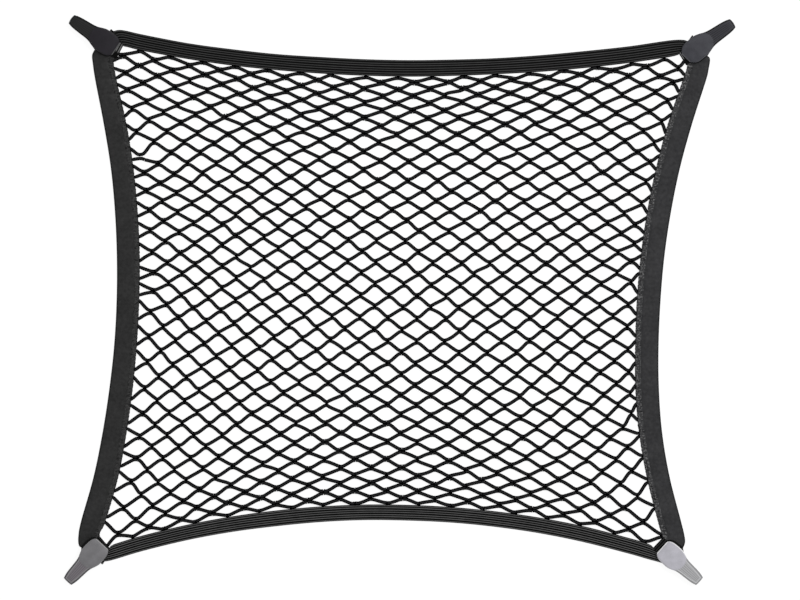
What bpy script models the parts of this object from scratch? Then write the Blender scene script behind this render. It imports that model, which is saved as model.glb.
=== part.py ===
"""Cargo net for a car boot, lying flat with its face up.

A diamond mesh hangs between a ribbed elastic band at the top and the bottom and a folded
woven sleeve at each side. A short elastic strap joins band to sleeve at each corner and
passes through a moulded hook clip, whose tail turns back beneath itself to make the hook.
Metres, +Z up. The origin is the middle of the whole net on the surface it lies on.
"""

import math
from collections import namedtuple

import bmesh
import bpy
import numpy as np
from mathutils import Matrix, Vector

# --- driving dimensions, in metres ---------------------------------------------------------
GAP = 0.0003                 # clearance between pieces that are sewn or clipped together
BAND_THICKNESS = 0.0020
SLEEVE_THICKNESS = 0.0030
STRAP_THICKNESS = 0.0024
STRAP_HEIGHT = 0.0021        # underside of a corner strap, on the clip's base plate
STRAP_CLEARANCE = 0.0005     # from a strap's edge to the band or the sleeve beside it
SLEEVE_LIFT = 0.0012         # how far a sleeve's end is raised where the strap takes over
LIFT_LENGTH = 0.045          # stretch over which a band or a sleeve rises to its clip
ROW_STEPS = 4                # spans drawn between two rows of an outline

# The mesh panel: cells across and down, and the yarn.
CELLS_WIDE = 18
CELLS_HIGH = 23
CORD_WIDTH = 0.0033
CORD_REST_LENGTH = 0.0189    # unloaded length of one side of a cell
CORD_EASE_LENGTH = 0.0208    # length from which the knit gives more easily
CORD_EASE = 0.45             # share of its stiffness that is left from there
MESH_SAG = 0.000012          # pull towards the bottom band, as a stretch of the cords
MESH_LEAN = 0.000018         # pull towards the left sleeve, the same
BAND_TAKE_UP = 0.0014        # length that a band's seam takes from the cords sewn into it
SLEEVE_TAKE_UP = 0.0027      # the same, in the right sleeve
SIDE_SLACK = 0.0008          # extra length of the cords in the columns beside a sleeve
SIDE_COLUMNS = 3
RELAX_STEPS = 2500
RELAX_RATE = 0.24
SIDE_INSET = 0.0034          # from a sleeve's edge to the middle of the cords that meet it
BAND_INSET = 0.0024          # the same, at a band
LEFT_DEPTH = (-0.0030, 0.0085)      # how deep knots lie in the left sleeve, low and high on it
LEFT_DEPTH_HEIGHTS = (-0.1300, 0.2940)
RIGHT_DEPTH = 0.0046

# A clip: its own U runs from the head's inner edge to the tip of the tail, V across it.
# These and the sections below are for a clip of the nominal length.
NOMINAL_LENGTH = 0.0680
BASE_THICKNESS = 0.0018      # plate beneath the strap
BASE_HALF_WIDTH = 0.0072
BASE_START = 0.0052
POST_START = 0.0156          # the post between plate and head, outside the strap
POST_END = 0.0210
POST_SINK = 0.0020           # how far the post runs up into the head
HEAD_UNDERSIDE = 0.0048
HEAD_BEND_END = 0.0300       # U from which a bent head turns aside
STRAP_OUTER = 0.0150         # U of the strap's outer edge
STRAP_OUTER_HALF = 0.0097    # V where the strap's outer edge ends, either way
SLEEVE_CORNER = (0.0222, 0.0148)    # U and V of a sleeve's shoulder

COLLECTION = "cargo_net"

Material = namedtuple("Material", "name colour roughness")
CORD = Material("net_cord", (0.010, 0.010, 0.011), 0.80)
ELASTIC = Material("elastic_webbing", (0.016, 0.016, 0.017), 0.75)
TAPE = Material("sleeve_tape", (0.028, 0.028, 0.029), 0.85)
CHARCOAL = Material("charcoal_plastic", (0.022, 0.022, 0.026), 0.45)
SLATE = Material("slate_plastic", (0.045, 0.047, 0.052), 0.42)
MID_GREY = Material("mid_grey_plastic", (0.165, 0.165, 0.172), 0.42)
LIGHT_GREY = Material("light_grey_plastic", (0.40, 0.40, 0.43), 0.40)

# Where each clip lies: the middle of its head's inner edge, the way its tail points, its
# length, and how far its head is bent aside, seen with the band on the positive side of V.
# The strap's inner edge runs from band_u, band_v to sleeve_u, sleeve_v. The band's folded
# corner stands out at fold_u, fold_v.
Clip = namedtuple(
    "Clip",
    "side head_x head_y degrees length bend band_u band_v sleeve_u sleeve_v fold_u fold_v material",
)
CLIPS = {
    "top_left": Clip(
        -1, -0.3546, 0.3131, 146.0, 0.0680, 0.0000,
        -0.0048, 0.0078, -0.0066, -0.0085, 0.0195, 0.0172, CHARCOAL,
    ),
    "top_right": Clip(
        1, 0.3553, 0.3043, 34.5, 0.0740, -0.0030,
        -0.0038, 0.0057, -0.0044, -0.0085, 0.0230, 0.0162, SLATE,
    ),
    "bottom_left": Clip(
        1, -0.3717, -0.3048, 227.0, 0.0642, 0.0000,
        -0.0026, 0.0090, -0.0047, -0.0085, 0.0188, 0.0172, MID_GREY,
    ),
    "bottom_right": Clip(
        -1, 0.3272, -0.3090, 318.0, 0.0635, 0.0000,
        -0.0078, 0.0067, -0.0074, -0.0095, 0.0160, 0.0130, LIGHT_GREY,
    ),
}

# Outlines of the bands and sleeves, a row for each section across them.
Row = namedtuple("Row", "outer_x outer_y inner_x inner_y")
BAND_TOP_ROWS = (
    Row(-0.3578, 0.3362, -0.3446, 0.3168),
    Row(-0.3520, 0.3374, -0.3420, 0.3163),
    Row(-0.3430, 0.3366, -0.3390, 0.3156),
    Row(-0.3200, 0.3315, -0.3200, 0.3110),
    Row(-0.2650, 0.3210, -0.2650, 0.3010),
    Row(-0.2100, 0.3135, -0.2100, 0.2930),
    Row(-0.1550, 0.3075, -0.1550, 0.2873),
    Row(-0.1000, 0.3038, -0.1000, 0.2830),
    Row(-0.0450, 0.3010, -0.0450, 0.2803),
    Row(0.0100, 0.2998, 0.0100, 0.2791),
    Row(0.0650, 0.3005, 0.0650, 0.2800),
    Row(0.1200, 0.3023, 0.1200, 0.2821),
    Row(0.1750, 0.3060, 0.1750, 0.2851),
    Row(0.2300, 0.3111, 0.2300, 0.2898),
    Row(0.2850, 0.3170, 0.2850, 0.2960),
    Row(0.3300, 0.3236, 0.3280, 0.3022),
    Row(0.3460, 0.3252, 0.3410, 0.3044),
    Row(0.3545, 0.3250, 0.3460, 0.3058),
    Row(0.3605, 0.3240, 0.3480, 0.3065),
)
BAND_BOTTOM_ROWS = (
    Row(-0.3692, -0.3270, -0.3618, -0.3076),
    Row(-0.3650, -0.3262, -0.3590, -0.3060),
    Row(-0.3560, -0.3240, -0.3530, -0.3036),
    Row(-0.3200, -0.3133, -0.3200, -0.2938),
    Row(-0.2650, -0.3000, -0.2650, -0.2806),
    Row(-0.2100, -0.2899, -0.2100, -0.2704),
    Row(-0.1550, -0.2828, -0.1550, -0.2630),
    Row(-0.1000, -0.2776, -0.1000, -0.2580),
    Row(-0.0450, -0.2751, -0.0450, -0.2556),
    Row(0.0100, -0.2757, 0.0100, -0.2560),
    Row(0.0650, -0.2783, 0.0650, -0.2588),
    Row(0.1200, -0.2837, 0.1200, -0.2641),
    Row(0.1750, -0.2917, 0.1750, -0.2720),
    Row(0.2300, -0.3028, 0.2300, -0.2828),
    Row(0.2850, -0.3168, 0.2850, -0.2970),
    Row(0.3090, -0.3236, 0.3070, -0.3034),
    Row(0.3210, -0.3268, 0.3140, -0.3066),
)
SLEEVE_LEFT_ROWS = (
    Row(-0.3847, 0.3060, -0.3580, 0.2990),
    Row(-0.3840, 0.2960, -0.3574, 0.2930),
    Row(-0.3807, 0.2740, -0.3540, 0.2740),
    Row(-0.3701, 0.2190, -0.3417, 0.2190),
    Row(-0.3613, 0.1640, -0.3330, 0.1640),
    Row(-0.3562, 0.1090, -0.3278, 0.1090),
    Row(-0.3539, 0.0540, -0.3253, 0.0540),
    Row(-0.3542, -0.0010, -0.3260, -0.0010),
    Row(-0.3572, -0.0560, -0.3289, -0.0560),
    Row(-0.3633, -0.1110, -0.3349, -0.1110),
    Row(-0.3718, -0.1660, -0.3435, -0.1660),
    Row(-0.3830, -0.2210, -0.3540, -0.2210),
    Row(-0.3985, -0.2760, -0.3695, -0.2760),
    Row(-0.4020, -0.2960, -0.3744, -0.2895),
    Row(-0.4012, -0.3068, -0.3753, -0.2935),
)
SLEEVE_RIGHT_ROWS = (
    Row(0.3874, 0.3010, 0.3588, 0.2925),
    Row(0.3856, 0.2880, 0.3574, 0.2860),
    Row(0.3823, 0.2740, 0.3532, 0.2740),
    Row(0.3647, 0.2190, 0.3345, 0.2190),
    Row(0.3497, 0.1640, 0.3199, 0.1640),
    Row(0.3385, 0.1090, 0.3087, 0.1090),
    Row(0.3304, 0.0540, 0.3008, 0.0540),
    Row(0.3256, -0.0010, 0.2960, -0.0010),
    Row(0.3232, -0.0560, 0.2940, -0.0560),
    Row(0.3236, -0.1110, 0.2942, -0.1110),
    Row(0.3277, -0.1660, 0.2988, -0.1660),
    Row(0.3370, -0.2210, 0.3083, -0.2210),
    Row(0.3511, -0.2760, 0.3222, -0.2760),
    Row(0.3552, -0.2930, 0.3262, -0.2900),
    Row(0.3562, -0.3030, 0.3272, -0.2935),
)

# Where the net's cords are sewn to its four edges. Along a band they are spaced evenly but
# for a drift at the middle. Down a sleeve their spacing grows, and some are sewn out of step.
# Knots along a seam, by the place of its first and last and how far its middle ones drift.
Seam = namedtuple("Seam", "first last middle_drift")
TOP_SEAM = Seam(-0.3272, 0.3305, -0.0038)
BOTTOM_SEAM = Seam(-0.3345, 0.3076, -0.0028)
LEFT_SEAM = Seam(0.2940, -0.2745, 0.0250)
RIGHT_SEAM = Seam(0.2790, -0.1536, 0.0055)
# The foot of the right seam is sewn half a cell further in, through the next column.
RIGHT_FOOT_SEAM = Seam(-0.1688, -0.2950, 0.0051)
RIGHT_FOOT_KNOTS = 5
OutOfStep = namedtuple("OutOfStep", "stitch shift")
LEFT_OUT_OF_STEP = (
    OutOfStep(1, 0.000), OutOfStep(3, 0.005), OutOfStep(5, -0.006), OutOfStep(8, 0.000),
    OutOfStep(10, 0.000), OutOfStep(11, -0.004), OutOfStep(13, 0.010), OutOfStep(16, 0.000),
    OutOfStep(17, -0.007), OutOfStep(19, -0.006), OutOfStep(20, 0.001), OutOfStep(22, 0.000),
)
RIGHT_OUT_OF_STEP = (
    OutOfStep(1, 0.000), OutOfStep(3, 0.0055), OutOfStep(4, 0.000), OutOfStep(6, 0.004),
    OutOfStep(8, 0.000), OutOfStep(9, 0.000), OutOfStep(11, 0.0065), OutOfStep(12, 0.002),
    OutOfStep(16, -0.0025), OutOfStep(17, 0.000),
)
MESH_CORNERS = {
    "top_left": (-0.3700, 0.3140),
    "top_right": (0.3570, 0.3010),
    "bottom_left": (-0.3720, -0.3000),
    "bottom_right": (0.3340, -0.3010),
}

# A clip's skin, section by section from the head's inner edge, over the tail and round the
# hook to the end of the lower jaw. inner is the underside or throat side, outer the shown
# side. from_tip counts u back from the tip, so one table serves both lengths of clip.
Section = namedtuple("Section", "from_tip inner_u inner_z outer_u outer_z half_width")
HEAD_SECTIONS = (
    Section(False, 0.0000, 0.0048, 0.0000, 0.0070, 0.0104),
    Section(False, 0.0016, 0.0048, 0.0012, 0.0086, 0.0122),
    Section(False, 0.0055, 0.0048, 0.0050, 0.0102, 0.0137),
    Section(False, 0.0130, 0.0048, 0.0130, 0.0114, 0.0145),
    Section(False, 0.0225, 0.0052, 0.0225, 0.0116, 0.0145),
    Section(False, 0.0280, 0.0076, 0.0285, 0.0114, 0.0130),
    Section(False, 0.0335, 0.0080, 0.0340, 0.0112, 0.0109),
    Section(False, 0.0400, 0.0080, 0.0400, 0.0111, 0.0097),
)
HOOK_SECTIONS = (
    Section(True, 0.0120, 0.0080, 0.0125, 0.0108, 0.0086),
    Section(True, 0.0050, 0.0080, 0.0065, 0.0105, 0.0076),
    Section(True, 0.0030, 0.0078, 0.0020, 0.0094, 0.0070),
    Section(True, 0.0030, 0.0066, 0.0000, 0.0068, 0.0069),
    Section(True, 0.0030, 0.0042, 0.0000, 0.0026, 0.0069),
    Section(True, 0.0030, 0.0034, 0.0012, 0.0004, 0.0069),
    Section(True, 0.0045, 0.0030, 0.0036, 0.0000, 0.0070),
    Section(True, 0.0160, 0.0030, 0.0160, 0.0000, 0.0074),
    Section(True, 0.0225, 0.0028, 0.0225, 0.0000, 0.0076),
    Section(True, 0.0240, 0.0020, 0.0240, 0.0006, 0.0070),
)
# Across a section, as shares of its half width and of its height from inner to outer.
CROWN = ((1.0, 0.0), (1.0, 0.45), (0.88, 0.82), (0.5, 1.0), (-0.5, 1.0), (-0.88, 0.82), (-1.0, 0.45), (-1.0, 0.0))


# --- scene and materials ---------------------------------------------------------------------
def clear_scene():
    for old in list(bpy.data.objects):
        bpy.data.objects.remove(old, do_unlink=True)


def collection(name):
    made = bpy.data.collections.new(name)
    bpy.context.scene.collection.children.link(made)
    return made


def principled(finish):
    made = bpy.data.materials.get(finish.name)
    if made is None:
        made = bpy.data.materials.new(finish.name)
        made.use_nodes = True
        shader = made.node_tree.nodes["Principled BSDF"]
        shader.inputs["Base Color"].default_value = (*finish.colour, 1.0)
        shader.inputs["Roughness"].default_value = finish.roughness
        shader.inputs["Metallic"].default_value = 0.0
        made.diffuse_color = (*finish.colour, 1.0)
    return made


def node(name, mesh, finish, group):
    """A named object with its own material, in the object's collection."""
    made = bpy.data.objects.new(name, mesh)
    mesh.materials.append(principled(finish))
    group.objects.link(made)
    return made


def mesh_from(name, points, faces):
    """A mesh of these points and faces, its normals made to agree."""
    build = bmesh.new()
    placed = [build.verts.new(point) for point in points]
    for face in faces:
        build.faces.new([placed[i] for i in face])
    bmesh.ops.recalc_face_normals(build, faces=build.faces)
    made = bpy.data.meshes.new(name)
    build.to_mesh(made)
    build.free()
    return made


# --- corners ---------------------------------------------------------------------------------
def clip_matrix(clip):
    """A clip's U, V and Z in the net's frame. V points to the band's side of the clip."""
    place = Matrix.Translation((clip.head_x, clip.head_y, 0.0))
    return place @ Matrix.Rotation(math.radians(clip.degrees), 4, "Z")


def stretch(clip):
    return clip.length / NOMINAL_LENGTH


def at_clip(clip, u, v):
    """The place u along a clip and v to its band's side."""
    point = clip_matrix(clip) @ Vector((u, v * clip.side, 0.0))
    return point.x, point.y


def strap_outer(clip):
    return STRAP_OUTER * stretch(clip)


def beside_strap(clip, inner_u, inner_v, u):
    """How far from the clip's axis a piece lies at u, to clear the strap's edge from its
    inner end to its outer corner."""
    away = math.copysign(1.0, inner_v)
    slope = (away * STRAP_OUTER_HALF - inner_v) / (strap_outer(clip) - inner_u)
    return inner_v + slope * (u - inner_u) + away * STRAP_CLEARANCE


def towards(row, target, share):
    """The inner end of a row moved a share of the way to the inner end of another."""
    x = row.inner_x + share * (target.inner_x - row.inner_x)
    y = row.inner_y + share * (target.inner_y - row.inner_y)
    return x, y


def band_ends(clip, first):
    """A band's last two rows under a clip, the hidden one first, before its row first."""
    edge = clip.band_u, clip.band_v
    hidden = Row(
        *at_clip(clip, clip.fold_u, beside_strap(clip, *edge, clip.fold_u)),
        *at_clip(clip, clip.band_u, beside_strap(clip, *edge, clip.band_u)),
    )
    folded = Row(*at_clip(clip, clip.fold_u, clip.fold_v), *towards(hidden, first, 0.4))
    return hidden, folded


def sleeve_ends(clip, first):
    """A sleeve's last two rows under a clip, the hidden one first, before its row first."""
    edge = clip.sleeve_u, clip.sleeve_v
    corner_u = SLEEVE_CORNER[0] * stretch(clip)
    hidden = Row(
        *at_clip(clip, corner_u - 0.0005, beside_strap(clip, *edge, corner_u)),
        *at_clip(clip, clip.sleeve_u, beside_strap(clip, *edge, clip.sleeve_u)),
    )
    shoulder = Row(*at_clip(clip, corner_u, -SLEEVE_CORNER[1]), *towards(hidden, first, 0.4))
    return hidden, shoulder


def whole_band(left, rows, right):
    return (*band_ends(left, rows[0]), *rows, *reversed(band_ends(right, rows[-1])))


def whole_sleeve(top, rows, bottom):
    return (*sleeve_ends(top, rows[0]), *rows, *reversed(sleeve_ends(bottom, rows[-1])))


# --- cloth strips ----------------------------------------------------------------------------
def smooth_rows(rows, steps=ROW_STEPS):
    """Rows on a smooth curve through the given ones, with steps spans between two of them."""
    known = np.array(rows)
    before, after = 2 * known[:1] - known[1:2], 2 * known[-1:] - known[-2:-1]
    known = np.concatenate([before, known, after])
    found = []
    for i in range(1, len(known) - 2):
        a, b, c, d = known[i - 1], known[i], known[i + 1], known[i + 2]
        for t in np.arange(steps) / steps:
            bend = 2 * a - 5 * b + 4 * c - d
            twist = 3 * b - 3 * c + d - a
            found.append(b + 0.5 * t * (c - a + t * (bend + t * twist)))
    found.append(known[-2])
    return np.array(found)


def rise(rows, lift):
    """How high each row lies: flat, but raised to lift at both ends."""
    middle = (rows[:, :2] + rows[:, 2:]) / 2
    run = np.concatenate([[0.0], np.cumsum(np.linalg.norm(np.diff(middle, axis=0), axis=1))])
    from_end = np.minimum(run, run[-1] - run)
    share = np.clip(1 - from_end / LIFT_LENGTH, 0.0, 1.0)
    return lift * share * share * (3 - 2 * share)


def strip(name, rows, thickness, base, lift, finish, group):
    """A flat cloth strip between its outer and inner edges, as a sheet given its thickness."""
    heights = base + rise(rows, lift)
    points = []
    for (outer_x, outer_y, inner_x, inner_y), z in zip(rows, heights):
        points += [(outer_x, outer_y, z), (inner_x, inner_y, z)]
    faces = [(2 * i, 2 * i + 1, 2 * i + 3, 2 * i + 2) for i in range(len(rows) - 1)]
    sheet = mesh_from(name, points, faces)
    if sheet.polygons[0].normal.z < 0:
        sheet.flip_normals()
    made = node(name, sheet, finish, group)
    thick = made.modifiers.new("thickness", "SOLIDIFY")
    thick.thickness = thickness
    thick.offset = 1.0
    return made


def make_bands(group):
    lift = STRAP_HEIGHT
    top = whole_band(CLIPS["top_left"], BAND_TOP_ROWS, CLIPS["top_right"])
    bottom = whole_band(CLIPS["bottom_left"], BAND_BOTTOM_ROWS, CLIPS["bottom_right"])
    strip("band_top", smooth_rows(top), BAND_THICKNESS, 0.0, lift, ELASTIC, group)
    strip("band_bottom", smooth_rows(bottom), BAND_THICKNESS, 0.0, lift, ELASTIC, group)


def make_sleeves(group):
    left = whole_sleeve(CLIPS["top_left"], SLEEVE_LEFT_ROWS, CLIPS["bottom_left"])
    right = whole_sleeve(CLIPS["top_right"], SLEEVE_RIGHT_ROWS, CLIPS["bottom_right"])
    strip("sleeve_left", smooth_rows(left), SLEEVE_THICKNESS, 0.0, SLEEVE_LIFT, TAPE, group)
    strip("sleeve_right", smooth_rows(right), SLEEVE_THICKNESS, 0.0, SLEEVE_LIFT, TAPE, group)


def make_straps(group):
    """The short elastic pieces that cross the clips' axes between band and sleeve."""
    for corner, clip in CLIPS.items():
        rows = []
        for share in (0.0, 0.5, 1.0):
            outer_v = (2 * share - 1) * STRAP_OUTER_HALF
            inner_u = clip.sleeve_u + share * (clip.band_u - clip.sleeve_u)
            inner_v = clip.sleeve_v + share * (clip.band_v - clip.sleeve_v)
            outer, inner = at_clip(clip, strap_outer(clip), outer_v), at_clip(clip, inner_u, inner_v)
            rows.append((*outer, *inner))
        strip(f"strap_{corner}", np.array(rows), STRAP_THICKNESS, STRAP_HEIGHT, 0.0, ELASTIC, group)


# --- the net ---------------------------------------------------------------------------------
def edge_x(rows, y):
    """Where a sleeve's inner edge lies at height y."""
    edge = smooth_rows(rows)[::-1]
    return np.interp(y, edge[:, 3], edge[:, 2])


def edge_y(rows, x):
    """Where a band's inner edge lies at x."""
    edge = smooth_rows(rows)
    return np.interp(x, edge[:, 2], edge[:, 3])


def seam_places(seam, count, out_of_step=()):
    """Places along a seam: first to last, bowed by the drift, then moved out of step."""
    first, last, drift = seam
    t = np.linspace(0.0, 1.0, count)
    places = first + (last - first) * t + 4 * drift * t * (1 - t)
    if out_of_step:
        stitches = [row.stitch for row in out_of_step]
        shifts = [row.shift for row in out_of_step]
        places = places + np.interp(np.arange(1, count + 1), stitches, shifts)
    return places


def in_sleeve(rows, y, inset):
    """Knots at heights y, an inset towards the mesh from a sleeve's inner edge."""
    return np.stack([edge_x(rows, y) + inset, y], axis=1)


def sewn_edges():
    """The knots held by the four seams, and which these are. Knot (i, j) is i half cells
    across and j half cells up."""
    knots = np.zeros((2 * CELLS_WIDE + 1, 2 * CELLS_HIGH + 1, 2))
    held = np.zeros(knots.shape[:2], dtype=bool)
    held[0], held[-1], held[:, 0], held[:, -1] = True, True, True, True
    for j, seam, rows, inset in (
        (-1, TOP_SEAM, BAND_TOP_ROWS, -BAND_INSET),
        (0, BOTTOM_SEAM, BAND_BOTTOM_ROWS, BAND_INSET),
    ):
        x = seam_places(seam, CELLS_WIDE - 1)
        knots[2:-2:2, j] = np.stack([x, edge_y(rows, x) + inset], axis=1)
    y = seam_places(LEFT_SEAM, CELLS_HIGH - 1, LEFT_OUT_OF_STEP)
    depth = np.interp(y, LEFT_DEPTH_HEIGHTS, LEFT_DEPTH)
    knots[0, -3:1:-2] = in_sleeve(SLEEVE_LEFT_ROWS, y, -depth)
    foot = 2 * RIGHT_FOOT_KNOTS - 1
    y = seam_places(RIGHT_SEAM, CELLS_HIGH - RIGHT_FOOT_KNOTS, RIGHT_OUT_OF_STEP)
    knots[-1, -3:foot:-2] = in_sleeve(SLEEVE_RIGHT_ROWS, y, RIGHT_DEPTH)
    y = seam_places(RIGHT_FOOT_SEAM, RIGHT_FOOT_KNOTS)
    knots[-2, foot:0:-2] = in_sleeve(SLEEVE_RIGHT_ROWS, y, 0.0)
    held[-2, foot:0:-2] = True
    knots[-1, foot - 1:1:-2] = in_sleeve(SLEEVE_RIGHT_ROWS, y[:-1], RIGHT_DEPTH)
    knots[0, -1] = MESH_CORNERS["top_left"]
    knots[-1, -1] = MESH_CORNERS["top_right"]
    knots[0, 0] = MESH_CORNERS["bottom_left"]
    knots[-1, 0] = MESH_CORNERS["bottom_right"]
    return knots, held


def fill_every(line):
    """Every second place of a line filled in halfway between its neighbours."""
    line = line.copy()
    line[1::2] = (line[:-1:2] + line[2::2]) / 2
    return line


def rest_lengths(held, side, up):
    """The unloaded length of each inner knot's cord towards side (-1 or 1) and up (-1 or 1)."""
    wide, high = held.shape[0] - 1, held.shape[1] - 1
    i, j = np.meshgrid(np.arange(1, wide), np.arange(1, high), indexing="ij")
    low_i, high_i = i + min(side, 0), i + max(side, 0)
    low_j, high_j = j + min(up, 0), j + max(up, 0)
    lengths = np.full(i.shape, CORD_REST_LENGTH)
    beside = (low_i <= SIDE_COLUMNS) | (high_i >= wide - SIDE_COLUMNS)
    lengths += np.where(beside, SIDE_SLACK, 0.0)
    lengths -= np.where((low_j == 0) | (high_j == high), BAND_TAKE_UP, 0.0)
    far_end = held[1 + side:wide + side, 1 + up:high + up]
    lengths -= np.where((high_i >= wide - 1) & far_end & (side > 0), SLEEVE_TAKE_UP, 0.0)
    return lengths[..., None]


def net_knots():
    """Every knot's place, with the cords' pulls in balance between the sewn edges."""
    knots, held = sewn_edges()
    wide, high = knots.shape[0] - 1, knots.shape[1] - 1
    i, j = np.meshgrid(np.arange(wide + 1), np.arange(high + 1), indexing="ij")
    left, right = fill_every(knots[0]), fill_every(knots[-1])
    low, top = fill_every(knots[:, 0]), fill_every(knots[:, -1])
    s, t = (i / wide)[..., None], (j / high)[..., None]
    blend = (1 - t) * low[:, None] + t * top[:, None] + (1 - s) * left[None] + s * right[None]
    blend -= (1 - s) * ((1 - t) * low[0] + t * top[0]) + s * ((1 - t) * low[-1] + t * top[-1])
    free = ~held & ((i + j) % 2 == 0)
    knots = np.where(free[..., None], blend, knots)
    inner = free[1:-1, 1:-1, None]
    ways = [(side, up) for side in (-1, 1) for up in (-1, 1)]
    rest = {way: rest_lengths(held, *way) for way in ways}
    for _ in range(RELAX_STEPS):
        middle = knots[1:-1, 1:-1]
        pull = np.zeros_like(middle)
        for side, up in ways:
            cord = knots[1 + side:wide + side, 1 + up:high + up] - middle
            length = np.linalg.norm(cord, axis=2, keepdims=True) + 1e-9
            stretch_force = np.minimum(length, CORD_EASE_LENGTH) - rest[side, up]
            stretch_force += CORD_EASE * np.maximum(length - CORD_EASE_LENGTH, 0.0)
            pull += cord / length * stretch_force
        pull -= (MESH_LEAN, MESH_SAG)
        knots[1:-1, 1:-1] += np.where(inner, RELAX_RATE * pull, 0.0)
    return knots


def make_net(group):
    """The net's largest lattice: every second cord each way, as a wireframe of its cells.
    Its outermost knots lie beside the sleeves' edges, and not in their folds."""
    knots = net_knots()
    knots[0] = in_sleeve(SLEEVE_LEFT_ROWS, knots[0, :, 1], SIDE_INSET)
    knots[-1] = in_sleeve(SLEEVE_RIGHT_ROWS, knots[-1, :, 1], -SIDE_INSET)
    wide, high = knots.shape[0] - 1, knots.shape[1] - 1
    build = bmesh.new()
    placed = {}

    def vertex(i, j):
        if (i, j) not in placed:
            placed[i, j] = build.verts.new((*knots[i, j], GAP + CORD_WIDTH / 2))
        return placed[i, j]

    for i in range(2, wide - 1, 2):
        for j in range(2, high - 1, 2):
            if (i + j) % 4 == 2:
                build.faces.new([vertex(i - 2, j), vertex(i, j - 2), vertex(i + 2, j), vertex(i, j + 2)])
    cells = bpy.data.meshes.new("net")
    build.to_mesh(cells)
    build.free()
    made = node("net", cells, CORD, group)
    cords = made.modifiers.new("cords", "WIREFRAME")
    cords.thickness = CORD_WIDTH
    cords.use_replace = True
    cords.use_boundary = True
    cords.use_even_offset = True
    return made


# --- clips -----------------------------------------------------------------------------------
def clip_skin(clip):
    """The head, tail and hook as one loft through the sections."""
    rings = []
    for section in (*HEAD_SECTIONS, *HOOK_SECTIONS):
        inner_u = NOMINAL_LENGTH - section.inner_u if section.from_tip else section.inner_u
        outer_u = NOMINAL_LENGTH - section.outer_u if section.from_tip else section.outer_u
        turned = max(0.0, 1.0 - inner_u / HEAD_BEND_END)
        lean = 2 * clip.bend * turned / HEAD_BEND_END
        ring = []
        for width, height in CROWN:
            v = width * section.half_width
            u = inner_u + height * (outer_u - inner_u)
            z = section.inner_z + height * (section.outer_z - section.inner_z)
            ring.append((u * stretch(clip) + lean * v, v + clip.bend * turned * turned, z))
        rings.append(ring)
    count = len(CROWN)
    points = [(u, v * clip.side, z) for ring in rings for u, v, z in ring]
    faces = [tuple(range(count)), tuple(range(len(points) - count, len(points)))]
    for ring in range(len(rings) - 1):
        for k in range(count):
            a, b = ring * count + k, ring * count + (k + 1) % count
            faces.append((a, b, b + count, a + count))
    return mesh_from("clip_skin", points, faces)


def box_tool(name, low, high, group):
    """A box between two corners, to be joined to a clip."""
    build = bmesh.new()
    bmesh.ops.create_cube(build, size=1.0)
    low, high = Vector(low), Vector(high)
    for corner in build.verts:
        share = corner.co + Vector((0.5, 0.5, 0.5))
        corner.co = Vector([a + (b - a) * t for a, b, t in zip(low, high, share)])
    mesh = bpy.data.meshes.new(name)
    build.to_mesh(mesh)
    build.free()
    made = bpy.data.objects.new(name, mesh)
    group.objects.link(made)
    made.hide_render = True
    made.display_type = "WIRE"
    return made


def make_clips(group, cutters):
    """Each clip is its skin joined to the plate beneath the strap and to the post."""
    half = BASE_HALF_WIDTH
    for corner, clip in CLIPS.items():
        u = stretch(clip)
        made = node(f"clip_{corner}", clip_skin(clip), clip.material, group)
        made.matrix_world = clip_matrix(clip)
        plate = box_tool(
            f"plate_{corner}", (BASE_START * u, -half, 0.0), (POST_END * u, half, BASE_THICKNESS), cutters
        )
        post_top = HEAD_UNDERSIDE + POST_SINK
        post = box_tool(
            f"post_{corner}", (POST_START * u, -half, 0.0), (POST_END * u, half, post_top), cutters
        )
        for tool in (plate, post):
            tool.matrix_world = clip_matrix(clip)
            union = made.modifiers.new(tool.name, "BOOLEAN")
            union.operation = "UNION"
            union.solver = "EXACT"
            union.object = tool


def main():
    clear_scene()
    group = collection(COLLECTION)
    cutters = collection("cutters")
    make_net(group)
    make_bands(group)
    make_sleeves(group)
    make_straps(group)
    make_clips(group, cutters)


main()
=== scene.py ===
"""Looks of a cargo net for a car boot, laid flat on a pale floor.

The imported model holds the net, two ribbed elastic bands, two folded woven sleeves, four short
corner straps and four moulded hook clips. Each of them is made again here at the same place
with its yarn, ribs, folds, stitches and moulded edges. Metres, +Z up.
"""

import math
from collections import namedtuple

import bmesh
import bpy
import numpy as np
from mathutils import Matrix, Vector


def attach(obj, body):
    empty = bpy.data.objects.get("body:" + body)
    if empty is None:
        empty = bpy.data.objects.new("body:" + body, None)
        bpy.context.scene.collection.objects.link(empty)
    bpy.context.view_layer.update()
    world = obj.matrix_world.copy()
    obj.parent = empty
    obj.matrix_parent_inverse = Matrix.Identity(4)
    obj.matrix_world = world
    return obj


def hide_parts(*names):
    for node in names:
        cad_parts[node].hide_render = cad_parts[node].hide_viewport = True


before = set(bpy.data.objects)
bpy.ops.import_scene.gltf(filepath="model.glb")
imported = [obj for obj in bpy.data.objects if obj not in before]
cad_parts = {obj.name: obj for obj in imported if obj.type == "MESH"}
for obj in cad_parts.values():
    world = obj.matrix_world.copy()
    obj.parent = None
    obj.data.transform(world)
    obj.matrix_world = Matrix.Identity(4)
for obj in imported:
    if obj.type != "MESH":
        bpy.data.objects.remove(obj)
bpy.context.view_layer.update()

# --- sizes, in metres ------------------------------------------------------------------------
BAND_THICKNESS = 0.0020
SLEEVE_THICKNESS = 0.0030
STRAP_THICKNESS = 0.0024
STRAP_HEIGHT = 0.0021        # underside of a corner strap, on the clip's base plate
STRAP_CLEARANCE = 0.0005     # from a strap's edge to the band or the sleeve beside it
SLEEVE_LIFT = 0.0012         # how far a sleeve's end is raised where the strap takes over
LIFT_LENGTH = 0.045          # stretch over which a band or a sleeve rises to its clip
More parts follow.
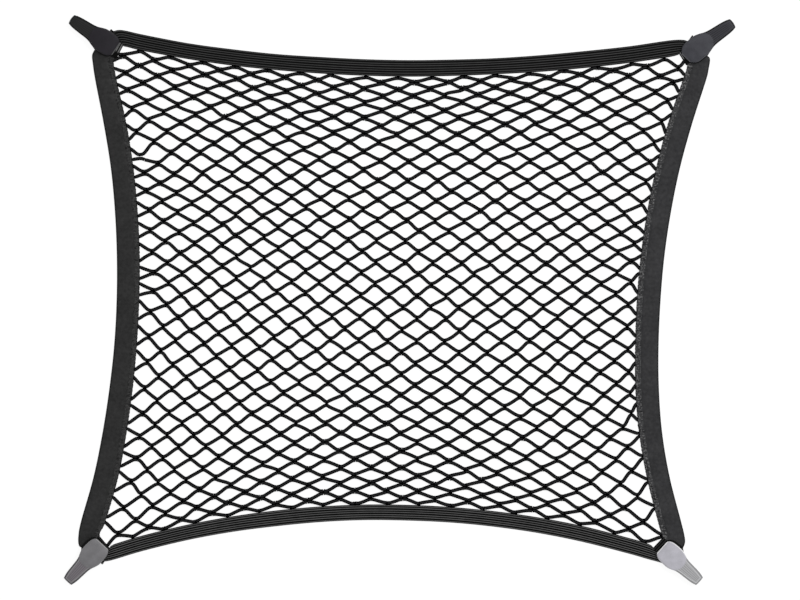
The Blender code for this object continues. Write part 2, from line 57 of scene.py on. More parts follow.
ROW_STEPS = 4                # spans drawn between two rows of an outline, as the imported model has

# The mesh, counted in cells between its sewn edges. A cell has two knots each way.
CELLS_WIDE = 18
CELLS_HIGH = 23
CORD_REST_LENGTH = 0.0189    # unloaded length of one side of a cell
CORD_EASE_LENGTH = 0.0208    # length from which the knit gives more easily
CORD_EASE = 0.45             # share of its stiffness that is left from there
MESH_SAG = 0.000012          # pull towards the bottom band, as a stretch of the cords
MESH_LEAN = 0.000018         # pull towards the left sleeve, the same
BAND_TAKE_UP = 0.0014        # length that a band's seam takes from the cords sewn into it
SLEEVE_TAKE_UP = 0.0027      # the same, in the right sleeve
SIDE_SLACK = 0.0008          # extra length of the cords in the columns beside a sleeve
SIDE_COLUMNS = 3
RELAX_STEPS = 2500
RELAX_RATE = 0.24
BAND_INSET = 0.0024          # from a band's edge to the middle of the knots sewn to it
LEFT_DEPTH = (-0.0012, 0.0085)      # how deep knots lie in the left sleeve, low and high on it
LEFT_DEPTH_HEIGHTS = (-0.1300, 0.2940)
RIGHT_DEPTH = 0.0046

# The yarn of the mesh.
SEED = 11                    # for how unevenly its strands run
STRAND_RADIUS = 0.00220       # half its width
STRAND_FLATNESS = 0.80
STRAND_HEIGHT = 0.00202      # middle of a strand above the floor
STRAND_STATIONS = 19         # rings drawn on one side of a cell, two to a chain stitch
STRAND_SIDES = 6             # with a corner on top
FLATS_TO_WIDTH = 1.0 / math.cos(math.pi / STRAND_SIDES)    # brings its flats out to its width
RIPPLE = 0.00015             # how far a strand rises or falls on its way
SLEEVE_ENTRY = (-0.0022, 0.0012)    # depths in a sleeve between which a strand is pressed flat
STITCH_RELIEF = 0.06         # how far a chain stitch swells, as a share of the radius
WAVE = 0.55                  # how much flatter a strand leaves its knot, as a slope
ROUNDING = 5                 # how soon it then turns steeper, as a power
SEWN_DEPTHS = (0.0026, 0.0042)    # least and most that a strand reaches into the left sleeve
WAVE_SPREAD = 0.50           # how unevenly strands do so, as a share
BOW = 0.00040                # how far a strand bows to one side, typically
SEWN_WAVE = 0.4              # share of the wave that is left where a strand is sewn in
SEWN_BOW = 0.0007            # bow outwards of the strands that are sewn into a sleeve
RIGHT_SHOWN_DEPTH = 0.0010   # how deep the right sleeve's loops of cord lie in its edge
LINK_HALF = 0.00190          # half the distance between two strands that run together
LINK_SIZE = (0.0016, 0.0024, 0.0017)    # half its width, height and thickness
BAND_LINK_SHIFT = 0.0011     # of a band's links, towards the band
BAND_LINK_SIZE = 1.15        # the same, as a share of the others' size
SEWN_RADIUS = 0.70           # of a strand pressed flat inside a sleeve, as a share
SEWN_HEIGHT = 0.00145        # middle of such a strand above the floor

# Bands, sleeves and straps.
BAND_RIBS = 7
STRAP_RIBS = 6
STRAP_ROWS = 13
STRAP_OVERRUN = 0.08         # of a strap's ends past its inner corners, as a share
RIB_DEPTH = 0.0005
LOW_RIB_SHARE = 0.6          # of that depth, on the underside
RIB_ROUNDNESS = 0.7          # as a power: the less, the flatter a rib's top
EDGE_DROP = 0.25             # rounding of an elastic's two edges, as a share of its thickness
GROOVE_DEPTHS = (1.0, 0.45, 1.0, 0.6, 1.0, 0.5)     # of the grooves between ribs, as shares
BAND_STEPS = 20
SLEEVE_STEPS = 40
STRIP_WIDTH = 0.0072         # stitched strip along a sleeve's inner edge
STRIP_END = (0.8 * STRIP_WIDTH, 1.1 * STRIP_WIDTH)    # between which its puckers die out
LUMP_HEIGHT = 0.00045        # of the cloth over a knot sewn into a sleeve
LUMP_REACH = 0.0026
ZIGZAG_PITCH = 0.0036
ZIGZAG_ACROSS = (0.0011, 0.0056)    # places of its turns, from the sleeve's inner edge
THREAD_RADIUS = 0.00028
THREAD_FLATNESS = 0.8
THREAD_SIDES = 4
THREAD_SINK = 0.4            # how much of its radius lies above the cloth
THREAD_MARGIN = 0.012        # from a sleeve's ends to the ends of its thread
WAVER_TURNS = (1900, 310, 1130, 83)    # the waves of an edge, in radians a metre
PUCKER_TURNS = (1650, 190, 470)        # the same, of the stitched strip
SOFT_TURNS = (260, 97)                 # the same, of the whole face
# The closed section of a sleeve, from its inner edge over the top to the outer fold and back
# beneath: shares of its width, and heights.
SLEEVE_SECTION = (
    (0.000, 0.0008), (-0.006, 0.0014), (0.004, 0.0020), (0.025, 0.0024), (0.060, 0.0025),
    (0.095, 0.0025), (0.130, 0.0025), (0.165, 0.0025), (0.200, 0.0024), (0.225, 0.0021),
    (0.245, 0.0018), (0.265, 0.0022), (0.300, 0.0027), (0.380, 0.0029), (0.500, 0.0030),
    (0.650, 0.0030), (0.800, 0.0030), (0.900, 0.0029), (0.955, 0.0027), (0.990, 0.0022),
    (1.000, 0.0015), (0.990, 0.0008), (0.955, 0.0003), (0.800, 0.0000), (0.500, 0.0000),
    (0.200, 0.0000), (0.030, 0.0003),
)
EDGE_WAVER = 0.00016         # how far a sleeve's inner edge wavers between stitches
PUCKER_HEIGHT = 0.00028      # of the puckers in its stitched strip
SOFT_HEIGHT = 0.00012        # of the soft waves over its whole face

# Clips.
NOMINAL_LENGTH = 0.0680
HEAD_BEND_END = 0.0300       # U from which a bent head turns aside
STRAP_OUTER = 0.0150         # U of the strap's outer edge
STRAP_OUTER_HALF = 0.0097    # V where the strap's outer edge ends, either way
SLEEVE_CORNER = (0.0222, 0.0148)    # U and V of a sleeve's shoulder
SHOULDER_STEP = 0.0005       # from there back to the sleeve's hidden end, along U
FOLD_EASE = 0.4              # how near a folded end's inner edge is to the next row's, as a share
BASE_THICKNESS = 0.0018      # plate beneath the strap
BASE_HALF_WIDTH = 0.0072
BASE_START = 0.0052
POST_START = 0.0156          # the post between plate and head, outside the strap
POST_END = 0.0210
POST_TOP = 0.0068
ROUNDING_END = 0.0095        # U to which a head's inner corners may be rounded
BLOCK_ROUNDING = 0.0005
GROOVE_DEPTH = 0.0003        # border line moulded round the tail
GROOVE_INSET = 0.0028
GROOVE_HALF_WIDTH = 0.0004
TIP_LENGTH = 0.0060          # of the rounding at the tail's end
PAD_MIDDLE = 0.0170          # the raised oval of the head
PAD_LENGTH = 0.0205
PAD_WIDTH = 0.0160
PAD_STEP = 0.0004
PAD_EDGE = (0.97, 1.04)      # its sloping edge, as shares of its size
TAIL_START = (0.0335, 0.0365)    # U between which the head turns into the ribbed tail
HOOK_TOP = 0.0085            # height under which the tail has turned into the hook
SHADOW_SKIRT_END = (0.020, 0.026)   # U between which the head's dark flare over the sleeve ends: a painted shadow under the head
TAIL_RIBS = 24.5             # fine ribs of the tail, in radians over half its width
TAIL_RIB_HEIGHT = 0.00008
DOME = 0.10                  # fall of the head from its middle to its side, as a share
# Half of a section's crown: shares of its half width and of its height.
CROWN_SIDE = (
    (1.000, 0.00), (1.000, 0.24), (1.000, 0.30), (0.995, 0.50), (0.975, 0.74), (0.940, 0.91),
    (0.890, 0.99), (0.850, 1.00), (0.810, 1.00), (0.770, 1.00), (0.730, 1.00),
)
CROWN_TOP_HALF = 0.69        # where the level top between the two sides ends, either way
CROWN_TOP_POINTS = 25
CROWN_LOW_HALF = 0.8         # the same, of the flat underside
CROWN_LOW_POINTS = 5
# Heights in a section, as shares of its own.
SHOWN_FROM = 0.4             # from here up, a head's or a tail's skin is its shown side
TOP_FROM = 0.9
SHADOW_SKIRT_TO = 0.25
LOW_SHADE = (0.30, 0.48)     # between these the dark of the lower side dies out
SHADOW_SKIRT_FROM = 0.95            # share of the half width from which that dark flare stands out
CLIP_STEPS = 10              # sections drawn for each one in the tables below

# Floor, lights and camera.
FLOOR_REACH = 12.0
FLOOR_DROP = 0.0002          # of the floor beneath the net
FLOOR_TONE = 0.15
FLOOR_GLOW = 0.89
WHITE = (1.0, 1.0, 1.0, 1.0)
SKY_STRENGTH = 0.75
KEY_PLACE = (1.6, 1.2, 2.6)
KEY_SIZE = 2.0
KEY_POWER = 60.0
CAMERA_HEIGHT = 7.5
VIEW_WIDTH = 1.0             # width of the floor that the camera sees

# Where each clip lies: the middle of its head's inner edge, the way its tail points, its
# length, and how far its head is bent aside, seen with the band on the positive side of V.
# The strap's inner edge runs from band_u, band_v to sleeve_u, sleeve_v. The band's folded
# corner stands out at fold_u, fold_v.
Clip = namedtuple(
    "Clip",
    "side head_x head_y degrees length bend band_u band_v sleeve_u sleeve_v fold_u fold_v "
    "rounding skirt tip_bow material",
)
# The last column picks each clip's tone of one plastic; the tones are painted light and shade,
# darker on the top clips and lighter on the bottom ones.
CLIPS = {
    "top_left": Clip(
        -1, -0.3546, 0.3131, 146.0, 0.0680, 0.0000,
        -0.0048, 0.0078, -0.0066, -0.0085, 0.0195, 0.0172, 0.24, 0.0010, 0.0012, "charcoal",
    ),
    "top_right": Clip(
        1, 0.3553, 0.3043, 34.5, 0.0740, -0.0030,
        -0.0038, 0.0057, -0.0044, -0.0085, 0.0230, 0.0162, 0.36, 0.0010, 0.0012, "slate",
    ),
    "bottom_left": Clip(
        1, -0.3717, -0.3048, 227.0, 0.0642, 0.0000,
        -0.0026, 0.0090, -0.0047, -0.0085, 0.0188, 0.0172, 0.10, 0.0028, 0.0006, "mid_grey",
    ),
    "bottom_right": Clip(
        -1, 0.3272, -0.3090, 318.0, 0.0635, 0.0000,
        -0.0078, 0.0067, -0.0074, -0.0095, 0.0160, 0.0130, 0.12, 0.0028, 0.0005, "light_grey",
    ),
}

# Outlines of the bands and sleeves, a row for each section across them.
Row = namedtuple("Row", "outer_x outer_y inner_x inner_y")
ROW_PITCH = 0.0550           # between the even rows of a band or a sleeve
EVEN_ROWS = 11
BAND_START = -0.2650         # X of a band's first even row, from the left
SLEEVE_START = 0.2740        # Y of a sleeve's first even row, from the top


def band_rows(left, outer, inner, right):
    """A band's rows: the ones at its two ends, and between them upright ones at an even pitch."""
    places = [round(BAND_START + ROW_PITCH * n, 4) for n in range(EVEN_ROWS)]
    even = [Row(x, outer_y, x, inner_y) for x, outer_y, inner_y in zip(places, outer, inner)]
    return (*(Row(*row) for row in left), *even, *(Row(*row) for row in right))


def sleeve_rows(top, outer, inner, bottom):
    """The same for a sleeve, whose even rows lie level."""
    places = [round(SLEEVE_START - ROW_PITCH * n, 4) for n in range(EVEN_ROWS)]
    even = [Row(outer_x, y, inner_x, y) for y, outer_x, inner_x in zip(places, outer, inner)]
    return (*(Row(*row) for row in top), *even, *(Row(*row) for row in bottom))


BAND_TOP_ROWS = band_rows(
    left=(
        (-0.3578, 0.3362, -0.3446, 0.3168),
        (-0.3520, 0.3374, -0.3420, 0.3163),
        (-0.3430, 0.3366, -0.3390, 0.3156),
        (-0.3200, 0.3315, -0.3200, 0.3110),
    ),
    outer=(
        0.3210, 0.3135, 0.3075, 0.3038, 0.3010, 0.2998, 0.3005, 0.3023, 0.3060, 0.3111, 0.3170,
    ),
    inner=(
        0.3010, 0.2930, 0.2873, 0.2830, 0.2803, 0.2791, 0.2800, 0.2821, 0.2851, 0.2898, 0.2960,
    ),
    right=(
        (0.3300, 0.3236, 0.3280, 0.3022),
        (0.3460, 0.3252, 0.3410, 0.3044),
        (0.3545, 0.3250, 0.3460, 0.3058),
        (0.3605, 0.3240, 0.3480, 0.3065),
    ),
)
BAND_BOTTOM_ROWS = band_rows(
    left=(
        (-0.3692, -0.3270, -0.3618, -0.3076),
        (-0.3650, -0.3262, -0.3590, -0.3060),
        (-0.3560, -0.3240, -0.3530, -0.3036),
        (-0.3200, -0.3133, -0.3200, -0.2938),
    ),
    outer=(
        -0.3000, -0.2899, -0.2828, -0.2776, -0.2751, -0.2757, -0.2783, -0.2837, -0.2917, -0.3028,
        -0.3168,
    ),
    inner=(
        -0.2806, -0.2704, -0.2630, -0.2580, -0.2556, -0.2560, -0.2588, -0.2641, -0.2720, -0.2828,
        -0.2970,
    ),
    right=(
        (0.3090, -0.3236, 0.3070, -0.3034),
        (0.3210, -0.3268, 0.3140, -0.3066),
    ),
)
SLEEVE_LEFT_ROWS = sleeve_rows(
    top=(
        (-0.3847, 0.3060, -0.3580, 0.2990),
        (-0.3840, 0.2960, -0.3574, 0.2930),
    ),
    outer=(
        -0.3807, -0.3701, -0.3613, -0.3562, -0.3539, -0.3542, -0.3572, -0.3633, -0.3718, -0.3830,
        -0.3985,
    ),
    inner=(
        -0.3540, -0.3417, -0.3330, -0.3278, -0.3253, -0.3260, -0.3289, -0.3341, -0.3418, -0.3521,
        -0.3680,
    ),
    bottom=(
        (-0.4020, -0.2960, -0.3744, -0.2895),
        (-0.4012, -0.3068, -0.3753, -0.2935),
    ),
)
SLEEVE_RIGHT_ROWS = sleeve_rows(
    top=(
        (0.3874, 0.3010, 0.3588, 0.2925),
        (0.3856, 0.2880, 0.3574, 0.2860),
    ),
    outer=(
        0.3823, 0.3647, 0.3497, 0.3385, 0.3304, 0.3256, 0.3232, 0.3236, 0.3277, 0.3370, 0.3511,
    ),
    inner=(
        0.3532, 0.3345, 0.3199, 0.3087, 0.3008, 0.2960, 0.2940, 0.2942, 0.2988, 0.3083, 0.3222,
    ),
    bottom=(
        (0.3552, -0.2930, 0.3262, -0.2900),
        (0.3562, -0.3030, 0.3272, -0.2935),
    ),
)

# Where the net's cords are sewn to its four edges: the places of a seam's first and last
# knot, and how far its middle ones drift. Down a sleeve some are sewn out of step.
Seam = namedtuple("Seam", "first last middle_drift")
TOP_SEAM = Seam(-0.3272, 0.3305, -0.0038)
BOTTOM_SEAM = Seam(-0.3345, 0.3076, -0.0028)
LEFT_SEAM = Seam(0.2940, -0.2745, 0.0250)
RIGHT_SEAM = Seam(0.2790, -0.1536, 0.0055)
# The foot of the right seam is sewn half a cell further in, through the next column.
RIGHT_FOOT_SEAM = Seam(-0.1688, -0.2950, 0.0051)
RIGHT_FOOT_KNOTS = 5
# Which knots along a seam are sewn out of step, and how far.
LEFT_OUT_OF_STEP = (
    (1, 0.000), (3, 0.005), (5, -0.006), (8, 0.000),
    (10, 0.000), (11, -0.004), (13, 0.010), (16, 0.000),
    (17, -0.007), (19, -0.006), (20, 0.001), (22, 0.000),
)
RIGHT_OUT_OF_STEP = (
    (1, 0.000), (3, 0.0055), (4, 0.000), (6, 0.004),
    (8, 0.000), (9, 0.000), (11, 0.0065), (12, 0.002),
    (16, -0.0025), (17, 0.000),
)
MESH_CORNERS = {
    "top_left": (-0.3700, 0.3140),
    "top_right": (0.3570, 0.3010),
    "bottom_left": (-0.3656, -0.3068),
    "bottom_right": (0.3340, -0.3010),
}
# Where the knit is uneven: how far the knots of a column are moved aside, at the bottom band
# and at the top one, and how far those of a row are moved up.
COLUMN_DRIFT = (
    (0, 0.0000, 0.0000), (4, -0.0022, -0.0004),
    (7, -0.0004, 0.0006), (12, 0.0005, 0.0011),
    (18, -0.0005, 0.0001), (25, -0.0022, -0.0001),
    (28, -0.0020, 0.0006), (32, 0.0000, 0.0018),
    (36, 0.0000, 0.0000),
)
ROW_DRIFT = (
    (0, 0.0008), (6, 0.0015), (10, 0.0005), (14, -0.0012),
    (18, -0.0008), (20, 0.0001), (24, 0.0010), (27, 0.0008),
    (32, -0.0006), (36, 0.0002), (38, 0.0008), (42, 0.0001),
    (46, 0.0003),
)
# Places where the knit is drawn to one side: the knot across and up, how far in X and Y, and
# over how many knots.
PULLS = (
    (34, 4, -0.0038, -0.0024, 3.5), (34, 9, -0.0028, 0.0000, 1.6),
    (34, 13, 0.0034, -0.0018, 2.0), (33, 43, 0.0024, 0.0042, 2.0),
    (35, 45, 0.0035, 0.0010, 1.5), (35, 20, -0.0020, 0.0008, 2.5),
    (35, 29, -0.0020, -0.0012, 1.5), (26, 2, 0.0020, 0.0000, 4.0),
    (22, 14, -0.0009, -0.0005, 6.0), (13, 41, -0.0004, -0.0014, 5.0),
    (10, 27, 0.0008, -0.0012, 5.0), (2, 2, 0.0000, -0.0032, 1.8),
    (1, 1, -0.0010, -0.0024, 1.2), (3, 4, 0.0018, -0.0010, 2.0),
    (2, 43, -0.0004, 0.0026, 2.0), (1, 23, 0.0026, 0.0005, 2.0),
    (3, 16, -0.0020, 0.0003, 2.5), (2, 33, 0.0005, -0.0020, 1.8),
)

# Knots whose link has come undone, so that the upper cell's cord hangs loose beside it.
SlippedKnot = namedtuple("SlippedKnot", "across up upper_x upper_y lower_x lower_y bend")
SLIPPED_KNOTS = (SlippedKnot(1, 35, -0.0010, -0.0036, 0.0035, -0.0066, 0.9),)

# A clip's skin, section by section from the head's inner edge, over the tail and round the
# hook to the end of the lower jaw: the U and Z of its inner side (the underside or throat
# side), the U and Z of its outer, shown side, and half its width. The hook's U is counted
# back from the tip.
HEAD_SECTIONS = (
    (0.0000, 0.0048, 0.0000, 0.0070, 0.0104),
    (0.0016, 0.0048, 0.0012, 0.0086, 0.0122),
    (0.0055, 0.0048, 0.0050, 0.0102, 0.0137),
    (0.0130, 0.0048, 0.0130, 0.0114, 0.0145),
    (0.0225, 0.0052, 0.0225, 0.0116, 0.0145),
    (0.0280, 0.0076, 0.0285, 0.0114, 0.0130),
    (0.0335, 0.0080, 0.0340, 0.0112, 0.0109),
    (0.0400, 0.0080, 0.0400, 0.0111, 0.0097),
)
HOOK_SECTIONS = (
    (0.0120, 0.0080, 0.0125, 0.0108, 0.0086),
    (0.0050, 0.0080, 0.0065, 0.0105, 0.0076),
    (0.0030, 0.0078, 0.0020, 0.0094, 0.0070),
    (0.0030, 0.0066, 0.0000, 0.0068, 0.0069),
    (0.0030, 0.0042, 0.0000, 0.0026, 0.0069),
    (0.0030, 0.0034, 0.0012, 0.0004, 0.0069),
    (0.0045, 0.0030, 0.0036, 0.0000, 0.0070),
    (0.0160, 0.0030, 0.0160, 0.0000, 0.0074),
    (0.0225, 0.0028, 0.0225, 0.0000, 0.0076),
    (0.0240, 0.0020, 0.0240, 0.0006, 0.0070),
)


def clip_matrix(clip):
    """A clip's U, V and Z in the net's frame. V points to the band's side of the clip."""
    place = Matrix.Translation((clip.head_x, clip.head_y, 0.0))
    return place @ Matrix.Rotation(math.radians(clip.degrees), 4, "Z")


def stretch(clip):
    return clip.length / NOMINAL_LENGTH


def at_clip(clip, u, v):
    """The place u along a clip and v to its band's side."""
    point = clip_matrix(clip) @ Vector((u, v * clip.side, 0.0))
    return point.x, point.y


def strap_outer(clip):
    return STRAP_OUTER * stretch(clip)


def beside_strap(clip, inner_u, inner_v, u):
    """How far from the clip's axis a piece lies at u, to clear the strap's edge from its
    inner end to its outer corner."""
    away = math.copysign(1.0, inner_v)
    slope = (away * STRAP_OUTER_HALF - inner_v) / (strap_outer(clip) - inner_u)
    return inner_v + slope * (u - inner_u) + away * STRAP_CLEARANCE


def towards(row, target, share):
    """The inner end of a row moved a share of the way to the inner end of another."""
    x = row.inner_x + share * (target.inner_x - row.inner_x)
    y = row.inner_y + share * (target.inner_y - row.inner_y)
    return x, y


def band_ends(clip, first):
    """A band's last two rows under a clip, the hidden one first, before its row first."""
    edge = clip.band_u, clip.band_v
    hidden = Row(
        *at_clip(clip, clip.fold_u, beside_strap(clip, *edge, clip.fold_u)),
        *at_clip(clip, clip.band_u, beside_strap(clip, *edge, clip.band_u)),
    )
    folded = Row(*at_clip(clip, clip.fold_u, clip.fold_v), *towards(hidden, first, FOLD_EASE))
    return hidden, folded


def sleeve_ends(clip, first):
    """A sleeve's last two rows under a clip, the hidden one first, before its row first."""
    edge = clip.sleeve_u, clip.sleeve_v
    corner_u = SLEEVE_CORNER[0] * stretch(clip)
    hidden = Row(
        *at_clip(clip, corner_u - SHOULDER_STEP, beside_strap(clip, *edge, corner_u)),
        *at_clip(clip, clip.sleeve_u, beside_strap(clip, *edge, clip.sleeve_u)),
    )
    shoulder = Row(*at_clip(clip, corner_u, -SLEEVE_CORNER[1]), *towards(hidden, first, FOLD_EASE))
    return hidden, shoulder


def whole_band(left, rows, right):
    return (*band_ends(left, rows[0]), *rows, *reversed(band_ends(right, rows[-1])))


def whole_sleeve(top, rows, bottom):
    return (*sleeve_ends(top, rows[0]), *rows, *reversed(sleeve_ends(bottom, rows[-1])))


def smooth_curve(rows, steps):
    """Rows on a smooth curve through the given ones, with steps spans between two of them."""
    known = np.array(rows)
    before, after = 2 * known[:1] - known[1:2], 2 * known[-1:] - known[-2:-1]
    known = np.concatenate([before, known, after])
    found = []
    for a, b, c, d in zip(known[:-3], known[1:-2], known[2:-1], known[3:]):
        bend = 2 * a - 5 * b + 4 * c - d
        twist = 3 * b - 3 * c + d - a
        for t in np.arange(steps) / steps:
            found.append(b + 0.5 * t * (c - a + t * (bend + t * twist)))
    found.append(known[-2])
    return np.array(found)


def run_along(rows):
    """Length along a strip to each of its rows, at the middle."""
    middle = (rows[:, :2] + rows[:, 2:]) / 2
    return np.concatenate([[0.0], np.cumsum(np.linalg.norm(np.diff(middle, axis=0), axis=1))])


def rise(rows, lift):
    """How high each row lies: flat, but raised to lift at both ends."""
    run = run_along(rows)
    from_end = np.minimum(run, run[-1] - run)
    share = np.clip(1 - from_end / LIFT_LENGTH, 0.0, 1.0)
    return lift * share * share * (3 - 2 * share)


def edge_x(rows, y):
    """Where a sleeve's inner edge lies at height y."""
    edge = smooth_curve(rows, ROW_STEPS)[::-1]
    return np.interp(y, edge[:, 3], edge[:, 2])


def edge_y(rows, x):
    """Where a band's inner edge lies at x."""
    edge = smooth_curve(rows, ROW_STEPS)
    return np.interp(x, edge[:, 2], edge[:, 3])


def seam_places(seam, count, out_of_step=()):
    """Places along a seam: first to last, bowed by the drift, then moved out of step."""
    first, last, drift = seam
    t = np.linspace(0.0, 1.0, count)
    places = first + (last - first) * t + 4 * drift * t * (1 - t)
    if out_of_step:
        stitches, shifts = zip(*out_of_step)
        places = places + np.interp(np.arange(1, count + 1), stitches, shifts)
    return places


def in_sleeve(rows, y, inset):
    """Knots at heights y, an inset towards the mesh from a sleeve's inner edge."""
    return np.stack([edge_x(rows, y) + inset, y], axis=1)


def sewn_edges():
    """The knots held by the four seams, and which these are. Knot (i, j) is i half cells
    across and j half cells up."""
    knots = np.zeros((2 * CELLS_WIDE + 1, 2 * CELLS_HIGH + 1, 2))
    held = np.zeros(knots.shape[:2], dtype=bool)
    held[0], held[-1], held[:, 0], held[:, -1] = True, True, True, True
    for j, seam, rows, inset in (
        (-1, TOP_SEAM, BAND_TOP_ROWS, -BAND_INSET),
        (0, BOTTOM_SEAM, BAND_BOTTOM_ROWS, BAND_INSET),
    ):
        x = seam_places(seam, CELLS_WIDE - 1)
        knots[2:-2:2, j] = np.stack([x, edge_y(rows, x) + inset], axis=1)
    y = seam_places(LEFT_SEAM, CELLS_HIGH - 1, LEFT_OUT_OF_STEP)
    depth = np.interp(y, LEFT_DEPTH_HEIGHTS, LEFT_DEPTH)
    knots[0, -3:1:-2] = in_sleeve(SLEEVE_LEFT_ROWS, y, -depth)
    foot = 2 * RIGHT_FOOT_KNOTS - 1
    y = seam_places(RIGHT_SEAM, CELLS_HIGH - RIGHT_FOOT_KNOTS, RIGHT_OUT_OF_STEP)
    knots[-1, -3:foot:-2] = in_sleeve(SLEEVE_RIGHT_ROWS, y, RIGHT_DEPTH)
    y = seam_places(RIGHT_FOOT_SEAM, RIGHT_FOOT_KNOTS)
    knots[-2, foot:0:-2] = in_sleeve(SLEEVE_RIGHT_ROWS, y, 0.0)
    held[-2, foot:0:-2] = True
    knots[-1, foot - 1:1:-2] = in_sleeve(SLEEVE_RIGHT_ROWS, y[:-1], RIGHT_DEPTH)
    knots[0, -1] = MESH_CORNERS["top_left"]
    knots[-1, -1] = MESH_CORNERS["top_right"]
    knots[0, 0] = MESH_CORNERS["bottom_left"]
    knots[-1, 0] = MESH_CORNERS["bottom_right"]
    return knots, held


def fill_every(line):
    """Every second place of a line filled in halfway between its neighbours."""
    line = line.copy()
    line[1::2] = (line[:-1:2] + line[2::2]) / 2
    return line


def rest_lengths(held, side, up):
    """The unloaded length of each inner knot's cord towards side (-1 or 1) and up (-1 or 1)."""
    wide, high = held.shape[0] - 1, held.shape[1] - 1
    i, j = np.meshgrid(np.arange(1, wide), np.arange(1, high), indexing="ij")
    low_i, high_i = i + min(side, 0), i + max(side, 0)
    low_j, high_j = j + min(up, 0), j + max(up, 0)
    lengths = np.full(i.shape, CORD_REST_LENGTH)
    beside = (low_i <= SIDE_COLUMNS) | (high_i >= wide - SIDE_COLUMNS)
    lengths += np.where(beside, SIDE_SLACK, 0.0)
    lengths -= np.where((low_j == 0) | (high_j == high), BAND_TAKE_UP, 0.0)
    far_end = held[1 + side:wide + side, 1 + up:high + up]
    lengths -= np.where((high_i >= wide - 1) & far_end & (side > 0), SLEEVE_TAKE_UP, 0.0)
    return lengths[..., None]


def net_knots():
    """Every knot's place, with the cords' pulls in balance between the sewn edges."""
    knots, held = sewn_edges()
    wide, high = knots.shape[0] - 1, knots.shape[1] - 1
    i, j = np.meshgrid(np.arange(wide + 1), np.arange(high + 1), indexing="ij")
    left, right = fill_every(knots[0]), fill_every(knots[-1])
    low, top = fill_every(knots[:, 0]), fill_every(knots[:, -1])
    s, t = (i / wide)[..., None], (j / high)[..., None]
    blend = (1 - t) * low[:, None] + t * top[:, None] + (1 - s) * left[None] + s * right[None]
    blend -= (1 - s) * ((1 - t) * low[0] + t * top[0]) + s * ((1 - t) * low[-1] + t * top[-1])
    free = ~held & ((i + j) % 2 == 0)
    knots = np.where(free[..., None], blend, knots)
    inner = free[1:-1, 1:-1, None]
    ways = [(side, up) for side in (-1, 1) for up in (-1, 1)]
    rest = {way: rest_lengths(held, *way) for way in ways}
    for _ in range(RELAX_STEPS):
        middle = knots[1:-1, 1:-1]
        pull = np.zeros_like(middle)
        for side, up in ways:
            cord = knots[1 + side:wide + side, 1 + up:high + up] - middle
            length = np.linalg.norm(cord, axis=2, keepdims=True) + 1e-9
            stretch_force = np.minimum(length, CORD_EASE_LENGTH) - rest[side, up]
            stretch_force += CORD_EASE * np.maximum(length - CORD_EASE_LENGTH, 0.0)
            pull += cord / length * stretch_force
        pull -= (MESH_LEAN, MESH_SAG)
        knots[1:-1, 1:-1] += np.where(inner, RELAX_RATE * pull, 0.0)
    return knots


# --- node trees ------------------------------------------------------------------------------
def add_object(name, data):
    made = bpy.data.objects.new(name, data)
    bpy.context.scene.collection.objects.link(made)
    return made


def set_inputs(node, values):
    for name, value in values.items():
        node.inputs[name].default_value = value


def arithmetic(operation, swapped=False):
    """One of Wire's operators, with the wire second where it is swapped."""
    def add_node(wire, other):
        return wire.math(operation, *((other, wire) if swapped else (wire, other)))
    return add_node


class Wire:
    """A node's output. Arithmetic on it adds Math nodes, and node() adds any other kind."""

    def __init__(self, tree, out=None):
        self.tree, self.out = tree, out

    def node(self, kind, settings=None, sockets=None, out=0):
        """One node: its settings first, then the values or wires of its sockets."""
        made = self.tree.nodes.new(kind)
        for name, value in (settings or {}).items():
            setattr(made, name, value)
        for name, value in (sockets or {}).items():
            if isinstance(value, Wire):
                self.tree.links.new(value.out, made.inputs[name])
            else:
                made.inputs[name].default_value = value
        return Wire(self.tree, made.outputs[out] if made.outputs else None)

    def math(self, operation, *values):
        kind = "ShaderNodeMath"
        return self.node(kind, {"operation": operation}, dict(enumerate(values)))

    __add__, __radd__ = arithmetic("ADD"), arithmetic("ADD", swapped=True)
    __sub__, __rsub__ = arithmetic("SUBTRACT"), arithmetic("SUBTRACT", swapped=True)
    __mul__, __rmul__ = arithmetic("MULTIPLY"), arithmetic("MULTIPLY", swapped=True)
    __rtruediv__ = arithmetic("DIVIDE", swapped=True)


def growing_tree(name, inputs):
    """A Geometry Nodes tree with these named inputs, and a wire from each of them."""
    tree = bpy.data.node_groups.new(name, "GeometryNodeTree")
    tree.is_modifier = True
    tree.interface.new_socket("Geometry", in_out="OUTPUT", socket_type="NodeSocketGeometry")
    for label, kind in {"Geometry": "NodeSocketGeometry", **inputs}.items():
        tree.interface.new_socket(label, in_out="INPUT", socket_type=kind)
    source = tree.nodes.new("NodeGroupInput")
    return {out.name: Wire(tree, out) for out in source.outputs if out.name}


def close_tree(geometry, material):
    """Ends a Geometry Nodes tree: real meshes with their material."""
    real = geometry.node("GeometryNodeRealizeInstances", sockets={"Geometry": geometry})
    done = real.node("GeometryNodeSetMaterial", sockets={"Geometry": real, "Material": material})
    done.node("NodeGroupOutput", sockets={"Geometry": done})


def grow(name, base, tree, values):
    """A piece that a tree makes of a base mesh, turned into a plain mesh."""
    piece = add_object(name, base)
    growth = piece.modifiers.new(tree.name, "NODES")
    growth.node_group = tree
    for socket in tree.interface.items_tree:
        if socket.in_out == "INPUT" and socket.name in values:
            growth[socket.identifier] = values[socket.name]
    depsgraph = bpy.context.evaluated_depsgraph_get()
    made = bpy.data.meshes.new_from_object(
        piece.evaluated_get(depsgraph), preserve_all_data_layers=True, depsgraph=depsgraph
    )
    piece.modifiers.remove(growth)
    piece.data = made
    made.name = name
    return piece


def named(wire, name):
    """A float attribute, read in a Geometry Nodes tree."""
    return wire.node("GeometryNodeInputNamedAttribute", {"data_type": "FLOAT"}, {"Name": name})


def stored(geometry, name, value):
    """The geometry with one more float attribute on its points."""
    settings = {"data_type": "FLOAT", "domain": "POINT"}
    sockets = {"Geometry": geometry, "Name": name, "Value": value}
    return geometry.node("GeometryNodeStoreNamedAttribute", settings, sockets)


